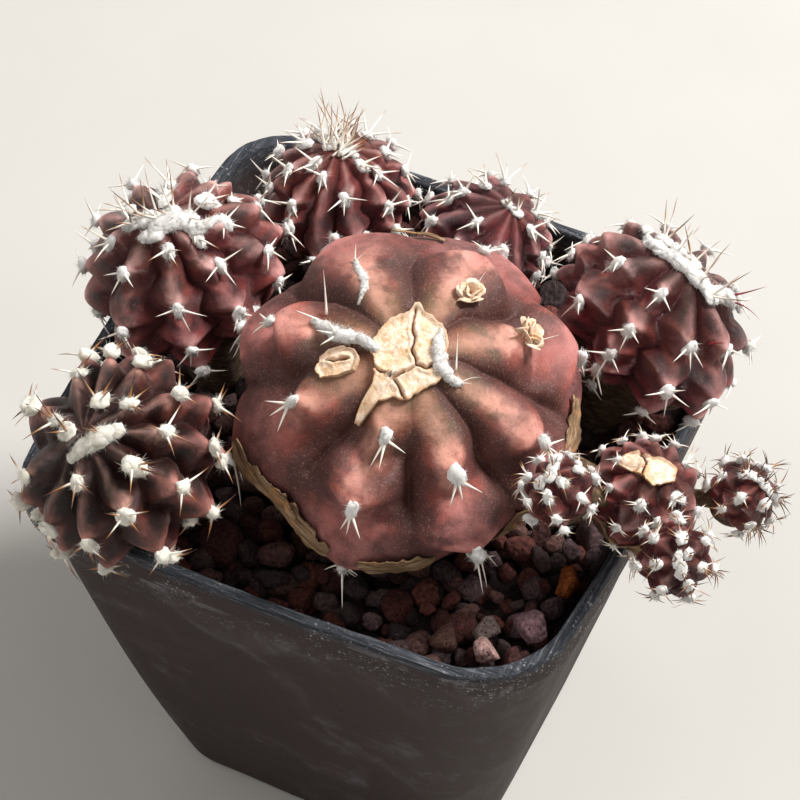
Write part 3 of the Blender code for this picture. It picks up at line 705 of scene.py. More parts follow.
def add_felt(shape, centre, along, across, outward, sizes, draw, fibres, reach, level=2, lobes=3):
    """A tuft of wool: overlapping lumps of felt with hairs combed down and out of them."""
    ball, faces = BALLS[level]
    sizes = np.array(sizes)
    axes = np.stack((along, across, outward))
    spots = []
    for lobe in range(lobes):
        shift = draw.uniform(-1, 1, 3) * np.array((0.5, 0.38, 0.2)) * (lobe > 0)
        scale = draw.uniform(0.5, 0.75) if lobe else 0.9
        seed = int(draw.integers(1, 900))
        lumps = (1 + 0.28 * soft_noise(ball * 1.7 + seed, 1.0, seed)
                 + 0.2 * soft_noise(ball * 5, 1.0, seed + 1))
        local = (ball * lumps[:, None] * scale + shift) * sizes
        shape.add(centre + local @ axes, (faces,), tone=0.55 + 0.45 * soft_noise(ball * 4, 1.0, seed + 3))
        spots.append((shift, scale))
    pick = draw.integers(0, lobes, fibres)
    shifts = np.array([spot[0] for spot in spots])[pick]
    scales = np.array([spot[1] for spot in spots])[pick][:, None]
    turned = unit(draw.normal(size=(fibres, 3)))
    turned[:, 2] = np.abs(turned[:, 2]) - 0.3
    turned = unit(turned)
    roots = centre + ((turned * scales * 0.9 + shifts) * sizes) @ axes
    headings = unit((turned * 0.8 + np.array((0.5, 0, 0.1)) + draw.normal(size=(fibres, 3)) * 0.6) @ axes)
    add_fibres(shape, roots, headings, reach * draw.uniform(0.4, 1.5, fibres), draw)


SPINE_RINGS = 8
SPINE_SIDES = 5
SPINE_TAPER = 0.85
# A spine's radius on small heads, on the mother and on the other heads
SMALL_SPINE, MOTHER_SPINE, OFFSET_SPINE = 0.15, 0.3, 0.26
FIBRE_RADIUS = 0.04


def add_spine(shape, root, direction, length, radius, draw, brown=0.3, red=0.0, hook=0.0, curve=None):
    """One curved, tapered needle."""
    direction = unit(direction)
    across = unit(np.cross(direction, draw.normal(size=3)))
    if curve is not None:
        across = unit(np.asarray(curve) - direction * np.dot(curve, direction))
    other = np.cross(direction, across)
    bow = draw.uniform(0.02, 0.12) + hook
    rings = []
    along = []
    for step in range(SPINE_RINGS):
        share = step / SPINE_RINGS
        centre = root + direction * length * share + across * length * bow * share ** 2
        size = radius * (1 - share) ** SPINE_TAPER * (1.2 if step == 0 else 1.0)
        for turn in range(SPINE_SIDES):
            swing = turn * 2 * math.pi / SPINE_SIDES
            rings.append(centre + (across * math.cos(swing) + other * math.sin(swing)) * size)
            along.append(share)
    tip = root + direction * length + across * length * bow
    shape.add(np.array(rings + [root, tip]), tube_faces(SPINE_RINGS, SPINE_SIDES),
              along=np.array(along + [0.0, 1.0]), brown=brown, red=red, tone=draw.uniform(0, 1))


def blocked(name, point):
    """Whether a point lies inside another head."""
    for other, head in HEADS.items():
        if other == name:
            continue
        angle, turn = polar_place(head, point)
        surface = skin(head, angle, turn)
        if np.linalg.norm(point - head.centre) < np.linalg.norm(surface - head.centre):
            return True
    return False


def dress_head(name, head, number):
    """The wool and the spines of every areole and of the crown."""
    style = STYLES[name]
    draw = np.random.default_rng(200 + number)
    wool = Shape("tone")
    needles = Shape("along", "brown", "red", "tone")
    big, small = head.big, head.small
    thickness = SMALL_SPINE if small else MOTHER_SPINE if big else OFFSET_SPINE
    for bearing, marks in head.ribs:
        for angle, nudge in marks:
            here, outward, down = skin_frame(head, angle, bearing + nudge)
            if blocked(name, here + outward * 0.8):
                continue
            side = np.cross(outward, down)
            if big and any(abs(angle - flower[0]) < 5 and abs(bearing - flower[1]) < 5
                           for flower in ROSETTES):
                continue
            young = angle < 35
            size = style["tuft"] * draw.uniform(0.82, 1.12)
            sizes = size * np.array((draw.uniform(1.25, 1.6) + 0.25 * big, draw.uniform(0.85, 1.05),
                                     draw.uniform(0.7, 0.9)))
            add_felt(wool, here + outward * size * 0.35 + down * size * 0.25, down, side, outward, sizes,
                     draw, 80 if small else 140, size * 0.7)
            turns = [draw.uniform(-128, -80), draw.uniform(80, 128), 180 + draw.uniform(-25, 25)]
            if draw.uniform() < style["extra"]:
                turns.append(draw.uniform(-40, 40))
            if small:
                turns += [draw.uniform(-180, 180) for _ in range(2)]
            if big:
                turns = [180 + draw.uniform(-14, 6), 180 + draw.uniform(8, 40), draw.uniform(100, 150)]
            for turn in turns:
                swing = math.radians(turn)
                rise = math.radians(draw.uniform(38, 62) if young and not big else draw.uniform(18, 42))
                flat = -down * math.cos(swing) + side * math.sin(swing)
                direction = flat * math.cos(rise) + outward * math.sin(rise)
                length = style["spine"] * draw.uniform(0.7, 1.15) * (1.3 if young and not big else 1.0)
                brown = style["brown"] * draw.uniform(0.5, 1.3) + (0.25 if young and not big else 0)
                start = here + outward * size * 0.3 + direction * 0.3 + (down * size * 0.9 if big else 0)
                add_spine(needles, start, direction, length, thickness, draw, brown=brown,
                          hook=0.22 if small else 0.06, curve=-outward * 0.6 + down * 0.3)
    if name in CROWN_WOOL:
        add_crown(name, head, style, wool, needles, draw)
    for path in STREAKS.get(name, ()):
        add_streak(wool, head, path, draw)
    for spine in LONE_SPINES.get(name, ()):
        add_lone_spine(needles, head, draw, style.get("lone", 0.1), *spine)
    return wool, needles


def add_streak(wool, head, path, draw):
    """Wool along the skin, its path given by angle, bearing and radius."""
    path = np.array(path, float)
    where = np.arange(len(path))
    for place in np.arange(0, len(path) - 0.99, 0.27):
        angle, bearing, radius = (np.interp(place, where, path[:, column]) for column in range(3))
        here, outward, down = skin_frame(head, angle, bearing)
        ahead = min(place + 0.3, len(path) - 1)
        nearby = skin(head, np.interp(ahead, where, path[:, 0]),
                      turn_at(head, np.interp(ahead, where, path[:, 1])))
        along = unit(nearby - here + down * 1e-3)
        side = unit(np.cross(outward, along))
        sizes = radius * np.array((1.35, draw.uniform(0.75, 1.1), draw.uniform(0.55, 0.85)))
        lift = 0.9 * smooth_step(-angle, -20, -12) if head.big else 0.0
        add_felt(wool, here + outward * (radius * 0.25 + lift), unit(np.cross(side, outward)), side,
                 outward, sizes, draw, 90, radius * 0.7)


def add_lone_spine(needles, head, draw, brown, angle, bearing, right, up, back, length, radius, red, hook):
    """A spine that stands out in the photograph, its direction given as the camera sees it."""
    axes = [np.array(axis) for axis in camera_axes()]
    here, outward, _ = skin_frame(head, angle, bearing)
    direction = axes[0] * right + axes[1] * up + axes[2] * back
    add_spine(needles, here + outward * 0.4, direction, length, radius, draw, brown=brown, red=red, hook=hook,
              curve=-axes[1] * (1 if hook >= 0 else -1))


def add_crown(name, head, style, wool, needles, draw):
    """The band of wool over the crown and the young spines that stand in it."""
    bearing, reach, count, size = CROWN_WOOL[name]
    i, j, k = head_axes(head)
    along = i * math.cos(math.radians(bearing)) + j * math.sin(math.radians(bearing))
    across = np.cross(k, along)
    small = head.small
    for step in range(count):
        offset = reach * (2 * step / (count - 1) - 1)
        sideways = draw.uniform(-0.9, 0.9)
        height = head.top * math.sqrt(1 - (offset / head.radius) ** 2)
        centre = head.centre + along * offset + k * (height + 0.15) + across * sideways
        outward = unit(k * 2 + along * offset / head.radius * 2)
        slide = np.cross(across, outward)
        sizes = size * np.array((draw.uniform(1.0, 1.5), draw.uniform(0.8, 1.25), draw.uniform(0.5, 0.8)))
        add_felt(wool, centre, slide, across, outward, sizes, draw, 90 if small else 260, size * 0.55,
                 2 if small else 3, 4)
        for _ in range(4 if small else 3):
            direction = unit(outward + across * draw.uniform(-0.8, 0.8) + slide * draw.uniform(-0.7, 0.7))
            length = style["crown"] * draw.uniform(0.65, 1.1)
            add_spine(needles, centre, direction, length, SMALL_SPINE if small else 0.22, draw,
                      brown=style["brown"] * 0.6 + draw.uniform(0.3, 0.9))


# Materials


def node(tree, kind, inputs=None, **settings):
    made = tree.nodes.new("ShaderNode" + kind)
    for key, value in settings.items():
        setattr(made, key, value)
    for key, value in (inputs or {}).items():
        if isinstance(value, bpy.types.NodeSocket):
            tree.links.new(value, made.inputs[key])
        else:
            made.inputs[key].default_value = value
    return made


class Finish:
    """A procedural material under construction."""

    def __init__(self, name, roughness=0.6, specular=0.5):
        self.material = bpy.data.materials.new(name)
        self.material.use_nodes = True
        self.tree = self.material.node_tree
        self.shader = self.tree.nodes["Principled BSDF"]
        self.shader.inputs["Roughness"].default_value = roughness
        self.shader.inputs["Specular IOR Level"].default_value = specular
        self.place = node(self.tree, "TexCoord").outputs["Object"]

    def noise(self, size, detail=3.0, roughness=0.55, distortion=0.0, stretch=None, place=None):
        """Noise with bumps of a size in millimetres."""
        place = place or self.place
        if stretch:
            place = node(self.tree, "Mapping", {"Vector": place, "Scale": stretch}).outputs["Vector"]
        inputs = {"Vector": place, "Scale": 1000.0 / size, "Detail": detail,
                  "Roughness": roughness, "Distortion": distortion}
        return node(self.tree, "TexNoise", inputs).outputs["Fac"]

    def set(self, **values):
        """Uniform values of the shader, by their names with _ for a space."""
        for key, value in values.items():
            self.shader.inputs[key.replace("_", " ")].default_value = value

    def values(self, *names):
        return [node(self.tree, "Attribute", attribute_name=name).outputs["Fac"] for name in names]

    def math(self, operation, first, second=0.0, third=0.0):
        made = node(self.tree, "Math", {0: first, 1: second}, operation=operation)
        if operation == "MULTIPLY_ADD":
            made.inputs[2].default_value = third
        return made.outputs[0]

    def times(self, first, second):
        return self.math("MULTIPLY", first, second)

    def plus(self, first, second):
        return self.math("ADD", first, second)

    def stir(self, value, noise, amount):
        """A value with noise round it, as wide as an amount."""
        return self.plus(value, self.math("MULTIPLY_ADD", noise, amount, -amount / 2))

    def step(self, value, low, high):
        inputs = {"Value": value, "From Min": low, "From Max": high}
        return node(self.tree, "MapRange", inputs, interpolation_type="SMOOTHSTEP").outputs["Result"]

    def ramp(self, value, *stops):
        made = node(self.tree, "ValToRGB", {"Fac": value})
        ramp = made.color_ramp
        while len(ramp.elements) < len(stops):
            ramp.elements.new(0.5)
        for element, (position, colour) in zip(ramp.elements, stops):
            element.position = position
            element.color = (*colour, 1.0)
        return made.outputs["Color"]

    def mix(self, share, first, second, blend="MIX"):
        made = node(self.tree, "Mix", data_type="RGBA", blend_type=blend)
        for socket, value in ((made.inputs[0], share), (made.inputs[6], first), (made.inputs[7], second)):
            if isinstance(value, bpy.types.NodeSocket):
                self.tree.links.new(value, socket)
            elif isinstance(value, tuple):
                socket.default_value = (*value, 1.0)
            else:
                socket.default_value = value
        return made.outputs[2]

    def coat(self, colour, mask, over, share=None):
        """Another colour over this one where a mask is, as strongly as a share."""
        return self.mix(mask if share is None else self.times(mask, share), colour, over)

    def bump(self, height, depth, normal=None):
        """Relief of a depth in millimetres."""
        made = node(self.tree, "Bump", {"Height": height, "Distance": depth * MM, "Strength": 1.0})
        if normal:
            self.tree.links.new(normal, made.inputs["Normal"])
        return made.outputs["Normal"]

    def finish(self, colour, normal=None, roughness=None):
        self.tree.links.new(colour, self.shader.inputs["Base Color"])
        if normal:
            self.tree.links.new(normal, self.shader.inputs["Normal"])
        if roughness:
            self.tree.links.new(roughness, self.shader.inputs["Roughness"])
        return self.material


def skin_material(name, palette, wrinkle, sheen, velvet):
    """Living skin: dark pillows with paler rims and keels under painted highlight, painted shade in the
    furrows, and a corky underside.
    """
    look = SimpleNamespace(**palette)
    made = Finish(name, roughness=0.5, specular=look.gloss)
    made.set(Sheen_Weight=sheen, Sheen_Roughness=0.45, Sheen_Tint=(1.0, 0.72, 0.68, 1.0))
    vast, broad = made.noise(15.0, 2, 0.5, 0.4), made.noise(8.0, 3, 0.55, 0.6)
    patches, dots = made.noise(2.6, 4, 0.6, 0.4), made.noise(0.3, 2, 0.7)
    ridge, polar, crease, rim, chin, band, cork = made.values(
        "ridge", "polar", "crease", "rim", "chin", "band", "cork")
    colour = made.mix(made.step(broad, 0.36, 0.64), look.dark, look.mid)
    low = made.mix(made.step(patches, 0.35, 0.7), look.base, look.low)
    colour = made.coat(colour, made.step(made.stir(polar, broad, 0.3), 0.3, 0.56), low)
    colour = made.coat(colour, made.step(vast, 0.46, 0.62), look.patch, look.patch_share)
    dusk = made.step(made.noise(9.0, 4, 0.62, 0.8), 0.48, 0.6)
    colour = made.coat(colour, dusk, look.band, look.dusk_share)
    shade = made.times(band, made.step(made.noise(4.5, 3, 0.6, 0.8), 0.28, 0.48))
    colour = made.coat(colour, shade, look.band, look.band_share)
    # Darker skin below each areole, partly painted shade
    colour = made.coat(colour, chin, look.chin, 0.85)
    # Painted highlight: crests and pillow rims are lightened, partly their own paler colour; lower on the head
    # a dimmer crest colour
    lit = made.step(made.stir(ridge, patches, 1.0), *look.crest)
    lit = made.times(lit, made.math("MULTIPLY_ADD", rim, 0.8, look.keel))
    lit = made.math("MINIMUM", made.times(lit, made.step(broad, 0.24, 0.56)), 1.0)
    height = made.stir(polar, broad, 0.2)
    colour = made.coat(colour, lit, made.mix(made.step(height, 0.2, 0.35), look.ridge, look.ridge_low))
    colour = made.coat(colour, made.step(height, 0.24, 0.08), look.crown, look.crown_share)
    # Painted shade: the furrows and their clefts are darkened with the furrow colour
    hollow = made.step(made.plus(made.times(ridge, -1.0), made.times(patches, 0.5)), *look.hollow)
    colour = made.coat(colour, hollow, look.furrow, look.hollow_share)
    colour = made.coat(colour, crease, look.furrow, 0.6)
    colour = made.coat(colour, made.step(dots, 0.54, 0.72), look.speck, velvet)
    colour = made.coat(colour, made.step(made.noise(0.5, 2, 0.6), 0.42, 0.3), look.furrow, velvet)
    bark = made.ramp(made.noise(2.2, 5, 0.65, 0.8, (1.0, 1.0, 3.0)), (0.3, (0.035, 0.017, 0.010)),
                     (0.5, (0.14, 0.080, 0.042)), (0.72, (0.36, 0.24, 0.14)))
    colour = made.coat(colour, cork, bark)
    normal = made.bump(made.times(dots, 0.5), 0.06)
    wave = made.math("SINE", made.plus(made.times(polar, 2600.0), made.times(made.noise(1.6, 3, 0.6), 24.0)))
    normal = made.bump(wave, wrinkle, normal)
    normal = made.bump(made.noise(1.5, 4, 0.6), 0.1, normal)
    normal = made.bump(made.times(made.noise(1.0, 5, 0.7, 0.5, (1.0, 1.0, 4.0)), cork), 0.8, normal)
    rough = made.plus(made.times(cork, 0.4), made.math("MULTIPLY_ADD", patches, 0.3, look.rough))
    return made.finish(colour, normal, rough)


def wool_material(name, cream, shade):
    made = Finish(name, roughness=0.95, specular=0.2)
    made.set(Subsurface_Weight=0.35, Subsurface_Radius=(1.0, 0.9, 0.8), Subsurface_Scale=0.0009,
             Sheen_Weight=0.15)
    tone, = made.values("tone")
    colour = made.mix(made.step(made.noise(0.8, 4, 0.6), 0.5, 0.28), cream, shade)
    colour = made.coat(colour, tone, (0.98, 0.965, 0.94), 0.6)
    return made.finish(colour, made.bump(made.noise(0.28, 4, 0.75, 0.8), 0.2))


def spine_material(name):
    made = Finish(name, roughness=0.42, specular=0.5)
    along, brown, red, tone = made.values("along", "brown", "red", "tone")
    ivory = made.mix(tone, (0.92, 0.85, 0.75), (0.97, 0.94, 0.89))
    ivory = made.coat(ivory, made.noise(0.5, 3, 0.6), (0.80, 0.66, 0.48), 0.25)
    reach = made.plus(along, made.math("MULTIPLY_ADD", brown, 0.9, -1.0))
    amber = made.mix(tone, (0.30, 0.12, 0.035), (0.42, 0.2, 0.07))
    colour = made.coat(ivory, made.step(reach, -0.1, 0.28), amber)
    colour = made.coat(colour, made.step(reach, 0.15, 0.7), (0.05, 0.018, 0.012))
    colour = made.coat(colour, red, (0.22, 0.006, 0.012))
    return made.finish(colour, made.bump(made.noise(0.25, 2, 0.5, 0, (1, 1, 0.3)), 0.02))


def cork_material(name, warm=0.0):
    made = Finish(name, roughness=0.85, specular=0.25)
    crack, edge = made.values("crack", "edge")
    fibre = made.noise(1.1, 5, 0.7, 0.6, (1.0, 1.0, 1.0))
    colour = made.ramp(fibre, (0.28, (0.46, 0.26, 0.13)), (0.42, (0.76, 0.53, 0.35)),
                       (0.60, (0.92, 0.78, 0.65)))
    blot = made.step(made.noise(3.5, 3, 0.5), 0.5, 0.68)
    colour = made.coat(colour, blot, (0.76, 0.42, 0.18), 0.45 + warm)
    colour = made.coat(colour, edge, (0.45, 0.24, 0.10), 0.55)
    colour = made.coat(colour, crack, (0.20, 0.08, 0.03))
    return made.finish(colour, made.bump(made.noise(0.35, 4, 0.7), 0.1, made.bump(fibre, 0.25)))


def peel_material(name):
    """Dry brown skin with its fibres along the strip."""
    made = Finish(name, roughness=0.8, specular=0.25)
    run, strand = made.values("run", "strand")
    place = node(made.tree, "CombineXYZ",
                 {0: made.times(run, 0.14 * MM), 1: made.times(strand, MM)}).outputs[0]
    fibre = made.noise(0.8, 5, 0.7, 0.5, place=place)
    colour = made.ramp(fibre, (0.32, (0.07, 0.035, 0.017)), (0.48, (0.20, 0.120, 0.065)),
                       (0.70, (0.48, 0.34, 0.21)))
    blot = made.step(made.noise(2.6, 3, 0.6), 0.52, 0.72)
    colour = made.coat(colour, blot, (0.50, 0.24, 0.085), 0.55)
    return made.finish(colour, made.bump(made.noise(0.4, 4, 0.7), 0.08, made.bump(fibre, 0.25)))


def pot_material():
    """Black plastic, scuffed, with streaks along its rim, partly scratches and partly painted highlight, and
    lime specks.
    """
    made = Finish("pot_plastic_finish", roughness=0.5, specular=0.2)
    rim, band, side = made.values("rim", "band", "side")

    def streak(size, detail, roughness):
        """Noise drawn out along each of the pot's sides."""
        pair = [made.noise(size, detail, roughness, 0.3, stretch) for stretch in ((0.06, 1, 1), (1, 0.06, 1))]
        return made.plus(made.times(pair[0], made.math("SUBTRACT", 1.0, side)), made.times(pair[1], side))

    smudge = made.noise(16.0, 4, 0.6, 0.8)
    cloud = made.noise(6.0, 4, 0.65, 0.5)
    body = made.ramp(smudge, (0.3, (0.031, 0.0195, 0.0185)), (0.52, (0.043, 0.030, 0.0285)),
                     (0.75, (0.072, 0.057, 0.057)))
    dust = made.times(made.step(smudge, 0.5, 0.68), made.step(cloud, 0.48, 0.64))
    body = made.coat(body, dust, (0.105, 0.10, 0.108), 0.6)
    patchy = made.step(cloud, 0.44, 0.56)
    scuffs = made.times(made.step(streak(2.2, 5, 0.72), 0.52, 0.62), patchy)
    body = made.coat(body, made.times(scuffs, band), (0.17, 0.165, 0.175), 0.75)
    # Pale bluish streaks over the rim: scratches, with painted highlight in them
    lines = streak(0.45, 6, 0.82)
    rim_scratch_and_highlight = made.ramp(lines, (0.34, (0.016, 0.017, 0.021)), (0.47, (0.048, 0.053, 0.066)),
                    (0.57, (0.11, 0.12, 0.14)), (0.68, (0.36, 0.38, 0.41)))
    lime = made.times(made.step(made.noise(0.55, 3, 0.6), 0.6, 0.68), made.step(cloud, 0.42, 0.56))
    colour = made.coat(body, rim, rim_scratch_and_highlight)
    colour = made.coat(colour, lime, (0.55, 0.55, 0.56), made.times(band, 0.6))
    normal = made.bump(made.noise(1.3, 5, 0.7), 0.06)
    normal = made.bump(made.times(lines, made.plus(rim, 0.12)), 0.7, normal)
    rough = made.step(made.plus(smudge, made.times(rim, 0.3)), -0.6, 1.2)
    return made.finish(colour, normal, rough)


def grit_material():
    made = Finish("lava_grit_finish", roughness=0.9, specular=0.3)
    tint = node(made.tree, "Attribute", attribute_name="tint").outputs["Color"]
    pits = node(made.tree, "TexVoronoi", {"Vector": made.place, "Scale": 1000.0 / 0.9}).outputs["Distance"]
    colour = made.mix(made.step(made.noise(0.7, 5, 0.7), 0.35, 0.75), (0.55, 0.5, 0.5), (1.5, 1.45, 1.45))
    colour = made.mix(1.0, tint, colour, "MULTIPLY")
    # Painted shade: the pits of each grain are coloured near black
    colour = made.coat(colour, made.step(pits, 0.28, 0.08), (0.008, 0.004, 0.004))
    colour = made.coat(colour, made.step(made.noise(0.25, 2, 0.5), 0.66, 0.74), (0.35, 0.28, 0.26), 0.35)
    return made.finish(colour, made.bump(made.noise(0.6, 5, 0.75), 0.35, made.bump(pits, 0.35)))


# Pot


def pot_ring(half, corners, share, z):
    points = []
    for quarter, corner in enumerate(corners):
        turn = quarter * math.pi / 2
        corner_x = (half - corner) * (1 if quarter in (0, 3) else -1)
        corner_y = (half - corner) * (1 if quarter in (0, 1) else -1)
        for step in range(CORNER_STEPS + 1):
            angle = turn + step / CORNER_STEPS * math.pi / 2
            points.append((corner_x + corner * math.cos(angle), corner_y + corner * math.sin(angle)))
        last_x, last_y = points[-1]
        step_x, step_y = math.cos(turn + math.pi), math.sin(turn + math.pi)
        side = 2 * half - corner - corners[(quarter + 1) % 4]
        for step in range(1, SIDE_STEPS):
            run = side * step / SIDE_STEPS
            points.append((last_x + step_x * run, last_y + step_y * run))
    points = np.array(points)
    x, y = points[:, 0], points[:, 1]
    bow_x = SIDE_BOW * share * (1 - (y / half) ** 2) * (np.abs(x) / half) ** 4
    bow_y = FRONT_BOW * share * (1 - (x / half) ** 2) * (np.abs(y) / half) ** 4
    return np.stack((x + np.sign(x) * bow_x, y + np.sign(y) * bow_y, np.full(len(x), float(z))), -1)


def pot_section(z, inset):
    share = z / POT_HEIGHT
    half = BASE_HALF + (RIM_HALF - BAND_STEP - BASE_HALF) * share
    half += WALL_BULGE * 4 * share * (1 - share)
    corners = [BASE_CORNER + (corner - BASE_CORNER) * share - 0.6 * inset for corner in RIM_CORNERS]
    return pot_ring(half - inset, corners, share ** 2, z)


def rim_section(z, inset):
    return pot_ring(RIM_HALF - inset, [corner - 0.6 * inset for corner in RIM_CORNERS], 1.0, z)


def build_pot():
    band = POT_HEIGHT - BAND_HEIGHT
    rings, rim, in_band, sides = [], [], [], []

    def ring(points, on_rim=0.0, on_band=0.0):
        rings.append(points)
        reach = np.abs(points[:, :2])
        sides.append(smooth_step(reach[:, 0] - reach[:, 1], -8, 8))
        rim.append(np.full(len(points), on_rim))
        in_band.append(np.full(len(points), on_band))

    for z, inset in ((0.0, 1.2), (0.15, 0.7), (0.5, 0.25), (1.0, 0.02)):
        ring(pot_section(z, inset))
    for z in np.linspace(2.5, band - 0.4, 24):
        ring(pot_section(z, 0.0), 0, smooth_step(z, band - 14, band))
    ring(pot_section(band, 0.05), 0, 1)
    ring(rim_section(band + 0.35, 0.2), 0, 1)
    for z in np.linspace(band + 0.7, POT_HEIGHT - 0.7, 8):
        ring(rim_section(z, 0.0), smooth_step(z, POT_HEIGHT - 2.0, POT_HEIGHT - 0.4), 1)
    for z, inset in ((0.35, 0.04), (0.15, 0.15), (0.03, 0.35), (0.0, 0.6), (0.0, 0.95), (0.0, 1.3),
                     (0.04, 1.6), (0.15, 1.8), (0.4, 1.95)):
        ring(rim_section(POT_HEIGHT - z, inset), 1, 1)
    for z in (75.5, 73.5, 71.0):
        ring(pot_section(z, RIM_WIDTH - BAND_STEP), smooth_step(z, 74, 77.5), 0.4)
    for z in np.linspace(66.0, BASE_THICK + 1.0, 8):
        ring(pot_section(z, WALL))
    ring(pot_section(BASE_THICK, WALL + 1.0))
    points = np.array(rings)
    flat = points.reshape(-1, 3)
    rim_value = np.concatenate(rim)
    away = unit(flat * np.array((1, 1, 0)))
    ragged = layered_noise(flat, 2.2, 5, 3) * 0.16 * rim_value + layered_noise(flat, 26, 8, 2) * 0.35
    flat = flat + away * ragged[:, None]
    flat[:, 2] += layered_noise(flat, 1.8, 15, 3) * 0.12 * rim_value
    flat[:, 2] = np.where(points.reshape(-1, 3)[:, 2] == 0, 0, flat[:, 2])
    shape = Shape("rim", "band", "side")
    shape.add(np.concatenate((flat, [(0, 0, 0), (0, 0, BASE_THICK)])), tube_faces(*points.shape[:2]),
              rim=np.concatenate((rim_value, (0, 0))), band=np.concatenate((*in_band, (0, 0))),
              side=np.concatenate((*sides, (0, 0))))
    cut_drains(shape.build("pot_shell", pot_material(), "pot_plastic", replaced="pot"))


def cut_drains(pot):
    bm = bmesh.new()
    for x in (-DRAIN_SPREAD, DRAIN_SPREAD):
        for y in (-DRAIN_SPREAD, DRAIN_SPREAD):
            place = Matrix.Translation(Vector((x, y, BASE_THICK / 2)) * MM)
            bmesh.ops.create_cone(bm, cap_ends=True, segments=32, radius1=DRAIN_RADIUS * MM,
                                  radius2=DRAIN_RADIUS * MM, depth=6 * MM, matrix=place)
    mesh = bpy.data.meshes.new("drains")
    bm.to_mesh(mesh)
    bm.free()
    cutter = link("drains", mesh)
    modifier = pot.modifiers.new("Drains", "BOOLEAN")
    modifier.object = cutter
    modifier.operation = "DIFFERENCE"
    modifier.solver = "EXACT"
    graph = bpy.context.evaluated_depsgraph_get()
    pot.data = bpy.data.meshes.new_from_object(pot.evaluated_get(graph))
    pot.modifiers.clear()
    bpy.data.objects.remove(cutter, do_unlink=True)


# Soil


GRAIN_TINTS = (
    (0.060, 0.022, 0.020), (0.100, 0.032, 0.026), (0.135, 0.044, 0.034), (0.050, 0.034, 0.034),
    (0.135, 0.085, 0.090), (0.075, 0.025, 0.022), (0.085, 0.056, 0.055), (0.150, 0.078, 0.068),
)
SOIL_TINT = (0.018, 0.009, 0.008)
# Place, size, stretch and tint of the grains that stand out
SPECIAL_GRAINS = (
    ((40.0, -16.9, 71.0), 3.1, (0.9, 0.9, 0.8), (0.46, 0.13, 0.03)),
    ((34.3, -35.8, 72.6), 2.7, (1.0, 0.85, 0.8), (0.50, 0.32, 0.29)),
    ((32.6, -31.2, 71.6), 3.5, (1.0, 0.6, 0.6), (0.16, 0.12, 0.11)),
    ((38.3, -27.6, 71.4), 3.6, (1.0, 0.8, 0.8), (0.20, 0.115, 0.13)),
    ((27.0, -34.8, 71.2), 3.0, (1.0, 0.8, 0.8), (0.15, 0.075, 0.06)),
    ((-12.5, -33.0, 71.2), 4.6, (1.0, 0.8, 0.75), (0.085, 0.030, 0.026)),
)


def grain(draw, size, stretch, level):
    """An angular grain of lava: a ball cut by random planes, then roughened."""
    ball, faces = BALLS[level]
    points = ball.copy()
    for _ in range(9):
        normal = unit(draw.normal(size=3))
        reach = draw.uniform(0.5, 0.85)
        along = points @ normal
        points = np.where((along > reach)[:, None], points - normal * (along - reach)[:, None] * 0.9, points)
    seed = int(draw.integers(1, 900))
    points = points * (1 + 0.12 * layered_noise(points * 2.6 + seed, 1.0, seed, 2))[:, None]
    turn, _ = np.linalg.qr(draw.normal(size=(3, 3)))
    if np.linalg.det(turn) < 0:
        turn[:, 0] *= -1
    return (points * np.array(stretch)) @ turn * size, faces


def build_soil():
    """The soil's body, coarse grains in its top, grains of finer mesh over them and some special grains."""
    draw = np.random.default_rng(11)
    rings = [pot_section(z, WALL + 0.3) for z in (BASE_THICK + 0.3, 40.0, 66.0)]
    levels = 26
    for step in range(levels):
        share = 1 - step / levels
        ring = pot_section(SOIL_TOP - 2.0, WALL + 0.3) * np.array((share, share, 1))
        ring[:, 2] += layered_noise(ring, 4.0, 31, 3) * 0.8
        rings.append(ring)
    points = np.array(rings)[:, ::4]
    everything = np.concatenate((points.reshape(-1, 3), [(0, 0, BASE_THICK + 0.3), (0, 0, SOIL_TOP - 2.0)]))
    parts = [(everything, tube_faces(*points.shape[:2]), SOIL_TINT)]
    necks = [(head.neck, head.neck_radius) for head in HEADS.values() if head.neck]
    for height, pitch, level in ((SOIL_TOP - 1.5, COARSE_PITCH, 2), (SOIL_TOP + 0.1, GRAIN_PITCH, 3)):
        steps = int(2 * (SOIL_HALF + 2) / pitch) + 1
        for row, column in np.ndindex(steps, steps):
            x = -SOIL_HALF - 2 + (column + 0.5 * (row % 2)) * pitch + draw.uniform(-1.1, 1.1)
            y = -SOIL_HALF - 2 + row * pitch + draw.uniform(-1.1, 1.1)
            size = draw.uniform(1.5, 2.2) if draw.uniform() < 0.3 else draw.uniform(2.2, 3.5)
            limit = SOIL_HALF - size * 0.9 - SOIL_CORNER
            bow_x = 2.0 * max(1 - (y / 34) ** 2, 0)
            bow_y = (0.6 if y < 0 else 2.0) * max(1 - (x / 34) ** 2, 0)
            reach = math.hypot(max(abs(x) - bow_x - limit, 0), max(abs(y) - bow_y - limit, 0))
            if reach > SOIL_CORNER or any(math.hypot(x - nx, y - ny) < radius - 1
                                          for (nx, ny), radius in necks):
                continue
            stretch = (1.0, draw.uniform(0.7, 1.0), draw.uniform(0.6, 0.9))
            stone, faces = grain(draw, size, stretch, level)
            tint = np.array(GRAIN_TINTS[int(draw.integers(0, len(GRAIN_TINTS)))]) * draw.uniform(0.8, 1.3)
            parts.append((stone + (x, y, height + draw.uniform(-0.9, 0.5)), (faces,), tint))
    for place, size, stretch, tint in SPECIAL_GRAINS:
        stone, faces = grain(draw, size, stretch, 3)
        parts.append((stone + place, (faces,), tint))
    shape = Shape()
    for points, faces, _ in parts:
        shape.add(points, faces)
    soil = shape.build("soil_grit", grit_material(), "lava_grit", replaced="soil")
    tints = np.concatenate([np.tile((*tint, 1.0), (len(points), 1)) for points, _, tint in parts])
    layer = soil.data.attributes.new("tint", "FLOAT_COLOR", "POINT")
    layer.data.foreach_set("color", tints.astype(np.float32).ravel())


# Cork patches


